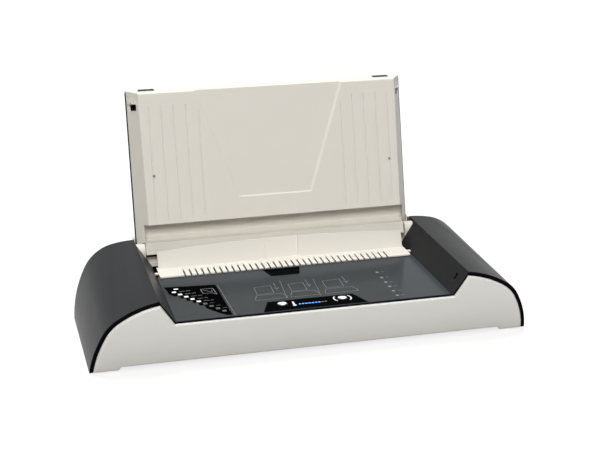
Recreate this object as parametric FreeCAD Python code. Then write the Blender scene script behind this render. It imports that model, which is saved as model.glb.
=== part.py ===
import FreeCAD, Part
import os
from math import atan2, cos, degrees, hypot, pi, radians, sin, sqrt, tan

from FreeCAD import Vector

# Thermal binding machine, millimetres, +Z up, +Y to the rear, +X to the right.
# It is modelled with the lid standing open, and every height counts from the surface that the
# rubber feet stand on. The pieces are drawn about the middle of the case, and at the end they
# move forward together until the origin is the middle of the open machine's box.

# Whole machine
case_width = 530.0
case_depth = 240.0
case_lift = 1.5
overrun = 6.0
running_gap = 0.3
fit_gap = 0.1
pivot_clearance = 0.05
half_width = case_width / 2
nose_y = -case_depth / 2
rear_y = case_depth / 2

# Arch shells: an arched cross-section at the nose and another at the rear, ruled between
shell_wall = 2.6
end_arch_width = 81.0
ridge_half = half_width - end_arch_width
ridge_nose_height = 85.0
ridge_rear_height = 98.6
rear_cover_length = 17.0
shell_rear_y = rear_y - rear_cover_length
nose_fall_angle = 8.0
rear_fall_angle = 0.0
nose_arch_shares = ((0.6, 0.215), (0.8, 0.42))
rear_arch_shares = ((0.352, 0.031), (0.787, 0.302))
seat_ledge = 9.0
seat_ledge_wall = 2.4
skirt_height = 14.0
boss_radius = 5.0
shell_boss_out = 42.0
shell_boss_nose_room = 58.0
shell_boss_rear_room = 31.0
shell_boss_x = ridge_half + shell_boss_out
shell_boss_front_y = nose_y + shell_boss_nose_room
shell_boss_rear_y = shell_rear_y - shell_boss_rear_room
catch_slot_length = 6.6
catch_slot_height = 7.8
catch_slot_drop = 0.6
tab_slot_low = 0.2
tab_slot_height = 2.4
ledge_front_s = 2.2

# Hinge line of the lid
hinge_rear_room = 11.0
hinge_y = shell_rear_y - hinge_rear_room
hinge_z = 85.0
hinge_pin_radius = 2.0
housing_side_gap = 0.4
lug_width = 11.8
pin_reach = 8.8
pin_end_cover = 3.6
housing_half = ridge_half - housing_side_gap
lug_inner = housing_half - lug_width
hinge_pin_inner = lug_inner - pin_reach
hinge_pin_outer = housing_half - pin_end_cover
lug_radius = 10.0
lug_sweep_gap = 1.2
lug_foot_front = 9.0
lug_foot_rear = 8.0
notch_room = 10.0
lug_foot_front_y = hinge_y - lug_foot_front
lug_foot_rear_y = hinge_y + lug_foot_rear
shell_notch_y = hinge_y - notch_room
closed_fall = 3.7

# Rear housing
gutter_radius = 18.6
housing_wall = 2.2
housing_top_z = 98.6
housing_end = 1.9
slot_lip_front = 7.4
slot_foot_front = 19.0
slot_lip_y = hinge_y - slot_lip_front
slot_foot_y = hinge_y - slot_foot_front
slot_foot_z = 38.0

# Deck: the sloping plane of the top panel, between the two inner walls
inner_wall_run = 18.6
nose_depth = 10.0
deck_half = ridge_half - inner_wall_run
deck_front_y = nose_y + nose_depth
deck_front_z = 57.4
deck_slope = 3.3
panel_rear_room = 55.5
ledge_rear_room = 61.0
panel_rear_y = hinge_y - panel_rear_room
ledge_rear_y = hinge_y - ledge_rear_room
panel_thickness = 3.0
panel_side_gap = 0.4

# Bowed front: an upright arc that leans forward, carried by fascia and frame
bow_foot_back = 21.5
bow_foot_y = nose_y + bow_foot_back
bow_foot_z = 2.0
bow_top_lead = 0.4
bow_top_y = nose_y - bow_top_lead
bow_top_z = 86.0
bow_rise = 4.0
bow_margin_share = 0.2
front_block_lead = 24.0
front_block_depth = 60.0
fascia_thickness = 2.8
fascia_arch_inset = 4.4
fascia_notch_inset = 1.6
fascia_notch_drop = 0.6
fascia_foot_z = 2.2
fascia_belly_z = 6.4
fascia_foot_length = 33.3
fascia_foot_half = half_width - fascia_foot_length
fascia_edge_slope = 1.7
fascia_foot_slant = 2.9
frame_recess = 1.6
frame_lip = 1.2
frame_depth = 4.4
frame_border = 7.0
frame_sill = 14.0

# Control strip, keys and lenses, in the deck's own plane
strip_front_half = 62.9
strip_rear_half = 52.0
strip_front_s = 1.2
strip_length = 30.0
strip_thickness = 1.15
strip_pocket_depth = 1.0
key_spread = 36.4
key_s = 20.6
key_radius = 6.3
key_proud = 0.6
key_flange_radius = 7.8
key_flange_thickness = 1.2
key_stem_radius = 2.4
key_stem_length = 7.4
lens_count = 9
lens_pitch = 3.9
lens_first_x = -16.5
lens_length = 2.6
lens_width = 1.8
lens_s = 15.2
lens_proud = 0.3
lens_depth = 5.0

# Finger cup under the comb
cup_centre_x = -10.0
cup_rear_room = 32.0
cup_front_s = panel_rear_y - deck_front_y - cup_rear_room
cup_length = 25.5
cup_front_half = 18.0
cup_rear_half = 24.0
cup_depth = 3.4
cup_floor = 1.0
cup_wall = 1.2

# Control board and what stands on it
board_half = 75.0
board_front_s = 6.0
board_length = 46.0
board_thickness = 1.6
board_drop = 12.4
board_boss_radius = 3.4
board_boss_inset = 6.0
board_screw_radius = 1.4
board_screw_head_radius = 2.7
board_screw_head = 1.8
key_switch_size = 6.0
key_switch_height = 3.4
key_switch_plunger_radius = 1.6
key_switch_plunger = 0.6
buzzer_radius = 6.0
buzzer_mouth_radius = 1.2
buzzer_height = 6.5
buzzer_x = 54.0
buzzer_s = 40.0
lamp_strip_height = 6.6
lamp_strip_width = 4.0
chip_x = -48.0
chip_s = 38.0
chip_length = 18.0
chip_width = 10.0
chip_height = 2.2

# Document guide: comb flange, leaning wall and the lower wall that closes the slot
guide_flange_room = 3.6
guide_wall_room = 5.4
guide_flange_front = 61.0
guide_wall_front = 31.7
slot_end_room = 12.9
slot_half = deck_half - slot_end_room
guide_flange_half = deck_half - guide_flange_room
guide_wall_half = deck_half - guide_wall_room
guide_flange_y = hinge_y - guide_flange_front
guide_wall_y = hinge_y - guide_wall_front
guide_lift = 0.5
guide_flange_thickness = 1.8
guide_wall_thickness = 2.2
guide_wall_lean = 18.0
guide_end_height = 21.6
guide_crown_height = 27.4
slot_piece_gap = 0.5
guide_lower_half = slot_half - slot_piece_gap
guide_lower_z = 38.5
carrier_end_room = 3.7
carrier_half = slot_half + carrier_end_room
guide_ear_inner = carrier_half + running_gap
guide_ear_thickness = 3.2
guide_ear_length = 8.0
guide_ear_drop = 25.0
guide_tab_length = 4.0
guide_tab_reach = 4.6
guide_tab_front = 48.0
guide_tab_y = hinge_y - guide_tab_front
recess_top_half = 24.7
recess_foot_half = 19.9
recess_depth = 4.0
comb_pitch = 7.68
comb_end_room = 31.0
comb_count = int((guide_flange_half - comb_end_room) * 2 / comb_pitch) + 1
comb_slot = 2.1
comb_depth = 20.5
guide_screw_radius = 1.5
guide_screw_head_radius = 3.0
guide_screw_head = 2.0
guide_screw_drop = 20.0
guide_screw_s = 4.0

# Heater, under the slot
heater_front = 52.0
heater_rear = 16.0
heater_front_y = hinge_y - heater_front
heater_rear_y = hinge_y - heater_rear
heater_half = slot_half - slot_piece_gap
heater_top_z = 36.0
heater_thickness = 6.0
element_thickness = 1.5
element_inset = 5.0
pad_thickness = 6.0
carrier_wall = 2.5
carrier_rear_wall = 3.0
carrier_front_y = heater_front_y - carrier_wall
carrier_rear_y = heater_rear_y + carrier_rear_wall
carrier_cheek_z = 52.0
carrier_leg = 12.0
carrier_leg_inset = 14.0
thermostat_share = 0.46
thermostat_x = heater_half * thermostat_share
thermostat_front = 34.0
thermostat_y = hinge_y - thermostat_front
thermostat_radius = 8.0
thermostat_height = 9.0
thermostat_window = 9.5
thermostat_blade = 1.4
fuse_share = 0.737
fuse_x = heater_half * fuse_share
fuse_length = 14.0
fuse_radius = 2.0
fuse_window_half = 10.0
probe_x = -thermostat_x
probe_radius = 3.0
probe_length = 12.0

# Document sensor
lever_half = 2.0
lever_pivot_front = 46.0
lever_pivot_y = hinge_y - lever_pivot_front
lever_pivot_z = 25.6
lever_arm = 24.0
sensor_switch_back = 6.0
lever_arm_height = 3.0
lever_finger = 2.6
lever_tip_z = 40.5
lever_eye_radius = 3.4
lever_eye_room = 4.4
lever_pin_radius = 1.25
lever_ear_thickness = 2.0
lever_window_front = 51.0
lever_window_rear = 18.4
lever_window_front_y = hinge_y - lever_window_front
lever_window_rear_y = hinge_y - lever_window_rear
lever_window_half = 2.6
pad_window_half = 5.0
lever_slot_front = 26.4
lever_slot_front_y = hinge_y - lever_slot_front
lever_slot_half = 2.6
lever_heel_radius = 1.2
sensor_switch_height = 14.0
sensor_switch_length = 14.0
sensor_switch_half = 2.2

# Lid, in its own frame: up from the hinge line, outward from it, and across
lid_lean = 9.4
lid_side_room = 2.7
lid_flare = 15.5
lid_outer_half = ridge_half - lid_side_room
lid_inner_half = lid_outer_half - lid_flare
lid_outer = 15.5
lid_skin = 2.2
lid_tip_room = 8.5
lid_tip_bevel = 4.5
lid_tip_outer = hinge_y - nose_y - lid_tip_room
lid_tip_inner = lid_tip_outer - lid_tip_bevel
lid_tail = -9.0
lid_face_top = -9.0
lid_face_foot = -12.0
lid_face_foot_up = 33.4
lid_face_wall = 2.2
lid_side_wall = 2.2
lid_rim = 2.4
lid_rim_back = 0.5
lid_edge_round = 2.0
lid_fit_gap = 0.2
scoop_side_wall = 11.3
scoop_deep_wall = 5.3
bar_end_gap = 1.0
scoop_side_half = lid_outer_half - scoop_side_wall
scoop_deep_half = lid_outer_half - scoop_deep_wall
bar_half = lug_inner - bar_end_gap
bar_front = -4.5
bar_foot = -4.5
bar_top = 10.2
ledge_depth = 2.0
scoop_bend_out = 4.0
scoop_bend_up = 12.4
scoop_back_up = 17.6
scoop_lining = 0.6
bar_wall = 2.4
bar_end = 8.0
groove_count = 5
groove_pitch = 15.75
groove_side_room = 10.0
groove_outer_x = lid_inner_half - groove_side_room
groove_width = 0.9
groove_depth = 0.7
groove_tip_room = 17.0
groove_top_up = lid_tip_inner - groove_tip_room
groove_foot_up = 40.0
groove_shield_margin = 24.0
shield_top_half = 94.3
shield_foot_half = 45.0
shield_tip_run = 2.0
shield_top_up = lid_tip_inner + shield_tip_run
shield_foot_up = 62.0
shield_depth = 1.2
shield_edge_run = 3.2
tab_half_length = 10.0
tab_side_room = 11.3
tab_centre_x = lid_inner_half - tab_side_room
tab_front_out = 6.0
tab_proud = 0.8
tab_leg = 1.8
tab_height = 4.0
lid_boss_radius = 4.0
lid_screw_radius = 1.25
lid_screw_head_radius = 2.6
lid_screw_head = 1.4
lid_screw_length = 9.0
lid_boss_low_up = 60.0
lid_boss_tip_room = 23.0
lid_boss_side_room = 20.8
lid_boss_high_up = lid_tip_inner - lid_boss_tip_room
lid_boss_side_x = lid_inner_half - lid_boss_side_room
catch_tip_room = 11.4
catch_up = lid_tip_inner - catch_tip_room
catch_out = 1.1
catch_height = 6.0
catch_length = 3.8
catch_proud = 3.3
catch_base_proud = 1.5
catch_base_height = 15.0
catch_base_out = 2.5
catch_window_height = 13.0
catch_window_length = 7.5
catch_window_gap = 0.3
buffer_side_room = 11.2
buffer_x = lid_inner_half - buffer_side_room
buffer_up = 95.0
buffer_radius = 1.6
buffer_proud = 0.6

# Base tray, feet and case screws
tray_side_room = 10.0
tray_nose_room = 29.0
tray_rear_room = 4.0
tray_half = half_width - tray_side_room
tray_front_y = nose_y + tray_nose_room
tray_rear_y = shell_rear_y - tray_rear_room
tray_floor_z = 5.0
tray_floor = 2.4
tray_rim = 2.4
tray_rim_z = 15.0
foot_radius = 9.0
foot_out = 28.0
foot_nose_room = 48.0
foot_rear_room = 21.0
foot_x = ridge_half + foot_out
foot_front_y = nose_y + foot_nose_room
foot_rear_y = shell_rear_y - foot_rear_room
screw_radius = 1.9
screw_head_radius = 3.6
screw_head = 2.0
screw_reach = 13.0
vent_count = 12
vent_pitch = 9.0
vent_width = 3.0
vent_length = 34.0
vent_first_x = -49.5
vent_y = -40.0

# Rear cover, inlet and power switch
rear_inset = 5.0
rear_wall = 2.6
rear_gap = 0.3
rear_plug_inset = 3.8
rear_plug_length = 5.0
inlet_out = 38.0
inlet_x = ridge_half + inlet_out
inlet_z = 30.0
inlet_half_width = 13.6
inlet_half_height = 9.8
inlet_bezel = 2.2
inlet_bezel_thickness = 1.6
inlet_cup_depth = 15.0
inlet_cup_wall = 1.6
inlet_depth = 20.0
inlet_blade_length = 10.0
inlet_blade_half_thickness = 1.0
inlet_blade_half_height = 2.0
inlet_blade_pitch = 7.0
inlet_blade_rise = 2.0
switch_out = 2.0
switch_x = ridge_half + switch_out
switch_z = 30.0
switch_half_width = 6.6
switch_half_height = 9.6
switch_bezel = 1.8
switch_bezel_thickness = 1.4
switch_depth = 16.0
switch_wall = 1.2
rocker_half_width = 5.0
rocker_half_height = 7.4
rocker_thickness = 3.0
rocker_peak = 1.4
rocker_tilt = 9.0
rocker_pivot_depth = 3.6
rocker_pin_radius = 1.0
rear_vent_count = 10
rear_vent_pitch = 6.0
rear_vent_width = 2.6
rear_vent_height = 22.0
rear_vent_out = 24.0
rear_vent_centre_x = -ridge_half - rear_vent_out
rear_vent_z = 32.0

# Power board in the right arch
power_board_out = 6.0
power_board_x = ridge_half + power_board_out
power_board_width = 58.0
power_board_front_room = 8.0
power_board_rear_room = 8.0
power_board_y = shell_boss_front_y + power_board_front_room
power_board_length = shell_boss_rear_y - power_board_rear_room - power_board_y
power_board_z = 14.0
power_post_radius = 3.0
transformer_size = 34.0
transformer_height = 28.0
transformer_core_height = 19.6
transformer_coil_inset = 6.8
transformer_coil_half = 11.3
transformer_rear_room = 22.0
transformer_y = power_board_y + power_board_length - transformer_rear_room
relay_width = 16.0
relay_length = 28.0
relay_height = 15.0
relay_front_run = 36.0
relay_y = transformer_y - relay_front_run
capacitor_radius = 6.0
capacitor_height = 18.0
capacitor_back = 14.0
capacitor_y = power_board_y + capacitor_back
sink_length = 30.0
sink_height = 30.0
sink_fin = 1.6
sink_fin_count = 5
sink_fin_pitch = 4.0
sink_side_gap = 0.5
sink_room = transformer_y - transformer_size / 2 - power_board_y - sink_length
sink_y = power_board_y + sink_room / 2


def box(x0, x1, y0, y1, z0, z1):
    return Part.makeBox(x1 - x0, y1 - y0, z1 - z0, Vector(x0, y0, z0))


def cylinder(radius, start, end):
    axis = end - start
    return Part.makeCylinder(radius, axis.Length, start, axis)


def prism(points, direction):
    wire = Part.makePolygon(points + points[:1])
    return Part.Face(wire).extrude(direction)


def prism_along_x(outline, x0, x1):
    """outline holds (y, z) points"""
    return prism([Vector(x0, y, z) for y, z in outline], Vector(x1 - x0, 0, 0))


def prism_along_y(outline, y0, y1):
    """outline holds (x, z) points"""
    return prism([Vector(x, y0, z) for x, z in outline], Vector(0, y1 - y0, 0))


def prism_along_z(outline, z0, z1):
    """outline holds (x, y) points"""
    return prism([Vector(x, y, z0) for x, y in outline], Vector(0, 0, z1 - z0))


def mirrored(shape):
    return shape.mirror(Vector(0, 0, 0), Vector(1, 0, 0))


def both_sides(shape):
    return [shape, mirrored(shape)]


def fused(shapes):
    first, rest = shapes[0], shapes[1:]
    if not rest:
        return first
    return first.fuse(rest).removeSplitter()


def group(shapes):
    return Part.makeCompound(shapes)


def one_solid(shape):
    """the single solid inside a boolean's result"""
    solids = shape.Solids
    return max(solids, key=lambda solid: solid.Volume)


def deck_z(y):
    return deck_front_z + (y - deck_front_y) * tan(radians(deck_slope))


def on_deck(shape):
    """moves a shape drawn flat, with y from the panel's front edge and z from its top face"""
    placed = shape.copy()
    placed.rotate(Vector(0, 0, 0), Vector(1, 0, 0), deck_slope)
    placed.translate(Vector(0, deck_front_y, deck_front_z))
    return placed


def deck_s(y):
    """length along the deck from the panel's front edge"""
    return (y - deck_front_y) / cos(radians(deck_slope))


def on_lid(shape):
    """moves a shape drawn upright over the hinge line to the open lid"""
    placed = shape.copy()
    placed.rotate(Vector(0, 0, 0), Vector(1, 0, 0), -lid_lean)
    placed.translate(Vector(0, hinge_y, hinge_z))
    return placed


# Arched cross-section

def tangent_arc(start, heading, end):
    """centre, radius and last heading of the arc that leaves start at heading below level"""
    across = end[0] - start[0]
    down = start[1] - end[1]
    chord = degrees(atan2(down, across))
    radius = hypot(across, down) / (2 * sin(radians(chord - heading)))
    centre = (start[0] - radius * sin(radians(heading)), start[1] - radius * cos(radians(heading)))
    return centre, radius, 2 * chord - heading


def arch_arcs(ridge_z, fall, knot_shares):
    arch_width = half_width - ridge_half
    knots = [(ridge_half + across * arch_width, ridge_z * (1 - down)) for across, down in knot_shares]
    start, heading = (ridge_half, ridge_z), fall
    arcs = []
    for end in knots + [(half_width, 0)]:
        centre, radius, next_heading = tangent_arc(start, heading, end)
        arcs.append((centre, radius, start, end))
        start, heading = end, next_heading
    return arcs


def pulled_in(point, centre, inset):
    reach = hypot(point[0] - centre[0], point[1] - centre[1])
    share = (reach - inset) / reach
    return (centre[0] + (point[0] - centre[0]) * share, centre[1] + (point[1] - centre[1]) * share)


def inner_wall_line(ridge_z, foot_z, inset):
    """a point on the slanted inner wall's line, pushed into the arch by inset, and its direction"""
    run = ridge_half - deck_half
    rise = ridge_z - foot_z
    length = hypot(run, rise)
    direction = (run / length, rise / length)
    return (ridge_half + inset * direction[1], ridge_z - inset * direction[0]), direction


def ridge_corner(arc, line):
    """where the slanted line meets the top arc's circle, near the ridge"""
    centre, radius = arc
    point, direction = line
    off = (point[0] - centre[0], point[1] - centre[1])
    along = off[0] * direction[0] + off[1] * direction[1]
    span = sqrt(along ** 2 - off[0] ** 2 - off[1] ** 2 + radius ** 2)
    return (point[0] + (span - along) * direction[0], point[1] + (span - along) * direction[1])


def half_arch(ridge_z, foot_z, fall, knot_shares, inset, wall_inset):
    """corner at the ridge, the three arcs pulled in, and the foot of the inner wall"""
    arcs = arch_arcs(ridge_z, fall, knot_shares)
    line = inner_wall_line(ridge_z, foot_z, wall_inset)
    corner = ridge_corner((arcs[0][0], arcs[0][1] - inset), line)
    pulled = []
    for centre, radius, start, end in arcs:
        start, end = pulled_in(start, centre, inset), pulled_in(end, centre, inset)
        pulled.append((centre, radius - inset, start, end))
    centre, radius, _, end = pulled[0]
    pulled[0] = (centre, radius, corner, end)
    point, direction = line
    share = (deck_half + wall_inset - point[0]) / direction[0]
    return corner, pulled, (deck_half + wall_inset, point[1] + share * direction[1])


def arc_edge(arc, y):
    centre, radius, start, end = arc
    middle = ((start[0] + end[0]) / 2 - centre[0], (start[1] + end[1]) / 2 - centre[1])
    share = radius / hypot(middle[0], middle[1])
    mid = Vector(centre[0] + middle[0] * share, y, centre[1] + middle[1] * share)
    return Part.Arc(Vector(start[0], y, start[1]), mid, Vector(end[0], y, end[1])).toShape()


def line_edges(points, y):
    places = [Vector(x, y, z) for x, z in points]
    return [Part.makeLine(a, b) for a, b in zip(places, places[1:])]


def arch_section(y, ridge_z, fall, knot_shares, inset):
    """closed outline of the right arch at y, pulled in by inset"""
    corner, arcs, foot = half_arch(ridge_z, deck_z(y), fall, knot_shares, inset, inset)
    base = arcs[-1][-1]
    edges = [arc_edge(arc, y) for arc in arcs]
    edges += line_edges([base, (base[0], -overrun), (foot[0], -overrun), foot, corner], y)
    return Part.Wire(edges)


def arch_solid(inset, front_y, rear_y_end):
    """the right arch as a full block, from section to section"""
    slope = (ridge_rear_height - ridge_nose_height) / (shell_rear_y - nose_y)
    front_height = ridge_nose_height + (front_y - nose_y) * slope
    rear_height = ridge_rear_height + (rear_y_end - shell_rear_y) * slope
    front = arch_section(front_y, front_height, nose_fall_angle, nose_arch_shares, inset)
    rear = arch_section(rear_y_end, rear_height, rear_fall_angle, rear_arch_shares, inset)
    return Part.makeLoft([front, rear], True, True)


# Bowed front

def bow_circle():
    """centre and radius of the front's upright arc, in y and z"""
    chord = hypot(bow_top_y - bow_foot_y, bow_top_z - bow_foot_z)
    radius = ((chord / 2) ** 2 + bow_rise ** 2) / (2 * bow_rise)
    middle = ((bow_foot_y + bow_top_y) / 2, (bow_foot_z + bow_top_z) / 2)
    normal = ((bow_top_z - bow_foot_z) / chord, (bow_foot_y - bow_top_y) / chord)
    reach = radius - bow_rise
    return (middle[0] + normal[0] * reach, middle[1] + normal[1] * reach), radius


def bow_points(depth):
    """foot, middle and top of the arc that lies depth behind the front, past both its ends"""
    centre, radius = bow_circle()
    points = []
    foot = atan2(bow_foot_z - centre[1], bow_foot_y - centre[0])
    top = atan2(bow_top_z - centre[1], bow_top_y - centre[0])
    foot = foot % (2 * pi)
    top = top % (2 * pi)
    margin = (foot - top) * bow_margin_share
    for angle in (foot + margin, (foot + top) / 2, top - margin):
        points.append((centre[0] + (radius - depth) * cos(angle), centre[1] + (radius - depth) * sin(angle)))
    return points


def bow_edge(points, x):
    a, b, c = [Vector(x, y, z) for y, z in points]
    return Part.Arc(a, b, c).toShape()


def bowed_slab(depth0, depth1):
    """the sheet between two of the front's arcs, wider than the machine"""
    x = -half_width - overrun
    near, far = bow_points(depth0), bow_points(depth1)
    ends = [Part.makeLine(Vector(x, *near[2]), Vector(x, *far[2])),
            Part.makeLine(Vector(x, *far[0]), Vector(x, *near[0]))]
    wire = Part.Wire([bow_edge(near, x), ends[0], bow_edge(far[::-1], x), ends[1]])
    return Part.Face(wire).extrude(Vector(-2 * x, 0, 0))


def behind_bow(depth):
    """everything behind the front's arc at depth"""
    x = -half_width - overrun
    near = bow_points(depth)
    back = rear_y + overrun
    foot, top = Vector(x, *near[0]), Vector(x, *near[2])
    back_foot, back_top = Vector(x, back, near[0][1]), Vector(x, back, near[2][1])
    lines = [Part.makeLine(top, back_top), Part.makeLine(back_top, back_foot), Part.makeLine(back_foot, foot)]
    wire = Part.Wire([bow_edge(near, x)] + lines)
    return Part.Face(wire).extrude(Vector(-2 * x, 0, 0))


def front_half_prism(inset, wall_inset, notch_z, floor_points):
    """right half of a front outline, pulled in, as a deep prism along y"""
    foot_z = deck_z(nose_y)
    corner, arcs, foot = half_arch(ridge_nose_height, foot_z, nose_fall_angle, nose_arch_shares,
                                   inset, wall_inset)
    slope = (corner[0] - foot[0]) / (corner[1] - foot[1])
    notch_foot = (foot[0] + (notch_z - foot[1]) * slope, notch_z)
    y = nose_y - front_block_lead
    base = arcs[-1][-1]
    edges = [arc_edge(arc, y) for arc in arcs]
    points = [base] + floor_points(base) + [(0, notch_z), notch_foot, corner]
    edges += line_edges(points, y)
    return Part.Face(Part.Wire(edges)).extrude(Vector(0, front_block_depth, 0))


def whole_front(half):
    return fused(both_sides(half))


def fascia_floor(base):
    """the outline's way from the arch's base corner to the middle: a foot, then the raised belly"""
    below = (base[0], fascia_foot_z - overrun)
    return [below, (0, fascia_foot_z - overrun)]


def plain_floor(base):
    return [(base[0], -overrun), (0, -overrun)]


def fascia_prism(gap):
    """the fascia's outline, grown by gap on its arches and notch"""
    half = front_half_prism(fascia_arch_inset - gap, fascia_notch_inset - gap,
                            deck_z(nose_y) - fascia_notch_drop + gap, fascia_floor)
    return whole_front(half)


def make_front_fascia():
    sheet = bowed_slab(0, fascia_thickness).common(fascia_prism(0))
    reach = half_width + overrun
    under_feet = box(-reach, reach, nose_y - overrun, nose_y + case_depth, -overrun, fascia_foot_z)
    belly = prism_along_y([(-fascia_foot_half, -overrun), (fascia_foot_half, -overrun),
                           (fascia_foot_half, fascia_foot_z),
                           (fascia_foot_half - fascia_foot_slant, fascia_belly_z),
                           (fascia_foot_slant - fascia_foot_half, fascia_belly_z),
                           (-fascia_foot_half, fascia_foot_z)], nose_y - overrun, nose_y + case_depth)
    sheet = one_solid(sheet.cut([under_feet, belly]))
    upper = []
    for face in sheet.Faces:
        if isinstance(face.Surface, Part.Cylinder) and abs(face.Surface.Radius - bow_circle()[1]) < fit_gap:
            upper += [edge for edge in face.Edges if edge.BoundBox.ZMax > 2 * fascia_belly_z]
    return sheet.makeChamfer(fascia_edge_slope, upper)


def make_front_frame():
    """black surround: a lip that covers the shells' front edges and a deeper ring inside them"""
    lip_prism = whole_front(front_half_prism(0, 0, deck_z(nose_y), plain_floor))
    lip = bowed_slab(frame_recess, frame_recess + frame_lip).common(lip_prism)
    ring_inset = shell_wall + running_gap
    ring_prism = whole_front(front_half_prism(ring_inset, ring_inset, deck_z(nose_y), plain_floor))
    ring = bowed_slab(frame_recess + frame_lip, frame_recess + frame_depth).common(ring_prism)
    pocket = bowed_slab(-overrun, fascia_thickness + fit_gap).common(fascia_prism(running_gap))
    window_prism = whole_front(front_half_prism(fascia_arch_inset + frame_border, frame_border,
                                                deck_z(nose_y) - frame_border, plain_floor))
    sill = box(-half_width, half_width, nose_y - overrun, nose_y + case_depth, fascia_belly_z, frame_sill)
    window = window_prism.cut(sill)
    reach = half_width + overrun
    under = box(-reach, reach, nose_y - overrun, nose_y + case_depth, -2 * overrun, case_lift)
    belly = box(-fascia_foot_half + fascia_foot_slant, fascia_foot_half - fascia_foot_slant,
                nose_y - overrun, nose_y + case_depth, -2 * overrun, fascia_belly_z + running_gap)
    return one_solid(lip.fuse(ring).cut([pocket, window, under, belly]).removeSplitter())


# Arch shells

def shell_front_depth():
    return frame_recess + frame_lip + fit_gap


def make_right_shell():
    outer = arch_solid(0, nose_y - overrun, shell_rear_y)
    inner = arch_solid(shell_wall, nose_y - 2 * overrun, shell_rear_y + overrun)
    shell = outer.cut(inner)
    y0, y1 = nose_y - overrun, shell_rear_y + overrun
    under = box(0, half_width + overrun, y0, y1, -2 * overrun, case_lift)
    skirt_foot = prism_along_x([(y0, -2 * overrun), (y1, -2 * overrun), (y1, deck_z(y1) - skirt_height),
                                (y0, deck_z(y0) - skirt_height)], deck_half - overrun,
                               deck_half + 2 * shell_wall)
    shell = shell.cut([under, skirt_foot])
    ledge_top = -panel_thickness
    ledge = on_deck(box(deck_half - seat_ledge, deck_half + shell_wall / 2, ledge_front_s,
                        deck_s(ledge_rear_y), ledge_top - seat_ledge_wall, ledge_top))
    bosses = []
    for y in (shell_boss_front_y, shell_boss_rear_y):
        post = cylinder(boss_radius, Vector(shell_boss_x, y, tray_floor_z + tray_floor),
                        Vector(shell_boss_x, y, ridge_rear_height + overrun))
        bosses.append(post.common(outer))
    shell = shell.fuse([ledge] + bosses).removeSplitter()
    bores = []
    for y in (shell_boss_front_y, shell_boss_rear_y):
        bores.append(cylinder(screw_radius + pivot_clearance, Vector(shell_boss_x, y, 0),
                              Vector(shell_boss_x, y, tray_floor_z + tray_floor + screw_reach)))
    notch = box(0, ridge_half, shell_notch_y, y1, -2 * overrun, ridge_rear_height + overrun)
    cuts = bores + [catch_slot_tool(), tab_slot_tool(), frame_room(), notch]
    shell = shell.cut(cuts)
    return one_solid(shell.common(behind_bow(shell_front_depth())))


def closed_lid_place(up, out):
    """y and z of a lid point once the lid lies closed between the ridges"""
    fall = radians(closed_fall)
    y = hinge_y - up * cos(fall) - out * sin(fall)
    z = hinge_z - up * sin(fall) + out * cos(fall)
    return y, z


def catch_slot_tool():
    y, z = closed_lid_place(catch_up, catch_out)
    middle_z = z - catch_slot_drop
    return box(deck_half - shell_wall, ridge_half + shell_wall, y - catch_slot_length / 2,
               y + catch_slot_length / 2, middle_z - catch_slot_height / 2, middle_z + catch_slot_height / 2)


def tab_slot_tool():
    """hole in the inner wall for the guide's locating tab"""
    s0, s1 = deck_s(guide_tab_y) - running_gap, deck_s(guide_tab_y) + guide_tab_length + running_gap
    return on_deck(box(guide_flange_half, deck_half + 2 * shell_wall, s0, s1, tab_slot_low,
                       tab_slot_low + tab_slot_height))


def frame_room():
    """space that the front frame's ring takes at the foot of the inner wall"""
    foot = box(0, deck_half + shell_wall + running_gap, nose_y - overrun, nose_y + case_depth, 0,
               deck_z(nose_y) + running_gap)
    return foot.common(bowed_slab(-overrun, frame_recess + frame_depth + running_gap))


# Top panel, control strip, finger cup

def strip_outline(grow):
    rear_s = strip_front_s + strip_length + grow
    return [(-strip_front_half - grow, strip_front_s - grow), (strip_front_half + grow, strip_front_s - grow),
            (strip_rear_half + grow, rear_s), (-strip_rear_half - grow, rear_s)]


def cup_outline(inset):
    front_s, rear_s = cup_front_s + inset, cup_front_s + cup_length - inset
    front, rear = cup_front_half - inset, cup_rear_half - inset
    return [(cup_centre_x - front, front_s), (cup_centre_x + front, front_s),
            (cup_centre_x + rear, rear_s), (cup_centre_x - rear, rear_s)]


def key_places():
    return [Vector(-key_spread, key_s, 0), Vector(key_spread, key_s, 0)]


def lens_boxes(grow, bottom, top):
    shapes = []
    for index in range(lens_count):
        x = lens_first_x + index * lens_pitch
        shapes.append(box(x - lens_length / 2 - grow, x + lens_length / 2 + grow,
                          lens_s - lens_width / 2 - grow, lens_s + lens_width / 2 + grow, bottom, top))
    return shapes


def board_corners():
    near = board_front_s + board_boss_inset
    far = board_front_s + board_length - board_boss_inset
    side = board_half - board_boss_inset
    return [Vector(x, s, 0) for x in (-side, side) for s in (near, far)]


def make_top_panel():
    side = deck_half - panel_side_gap
    plate = box(-side, side, 0, deck_s(panel_rear_y), -panel_thickness, 0)
    bosses = []
    for corner in board_corners():
        bosses.append(cylinder(board_boss_radius, corner - Vector(0, 0, board_drop),
                               corner - Vector(0, 0, panel_thickness)))
    plate = fused([plate] + bosses)
    gap = fit_gap
    cuts = [prism_along_z(strip_outline(gap), -strip_pocket_depth, overrun),
            prism_along_z(cup_outline(-gap), -overrun, overrun)]
    for place in key_places():
        cuts.append(cylinder(key_radius + running_gap, place - Vector(0, 0, overrun), place))
    cuts += lens_boxes(gap, -overrun, 0)
    for corner in board_corners():
        cuts.append(cylinder(board_screw_radius + pivot_clearance, corner - Vector(0, 0, 2 * board_drop),
                             corner - Vector(0, 0, panel_thickness + board_boss_radius)))
    return on_deck(plate.cut(cuts))


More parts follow.
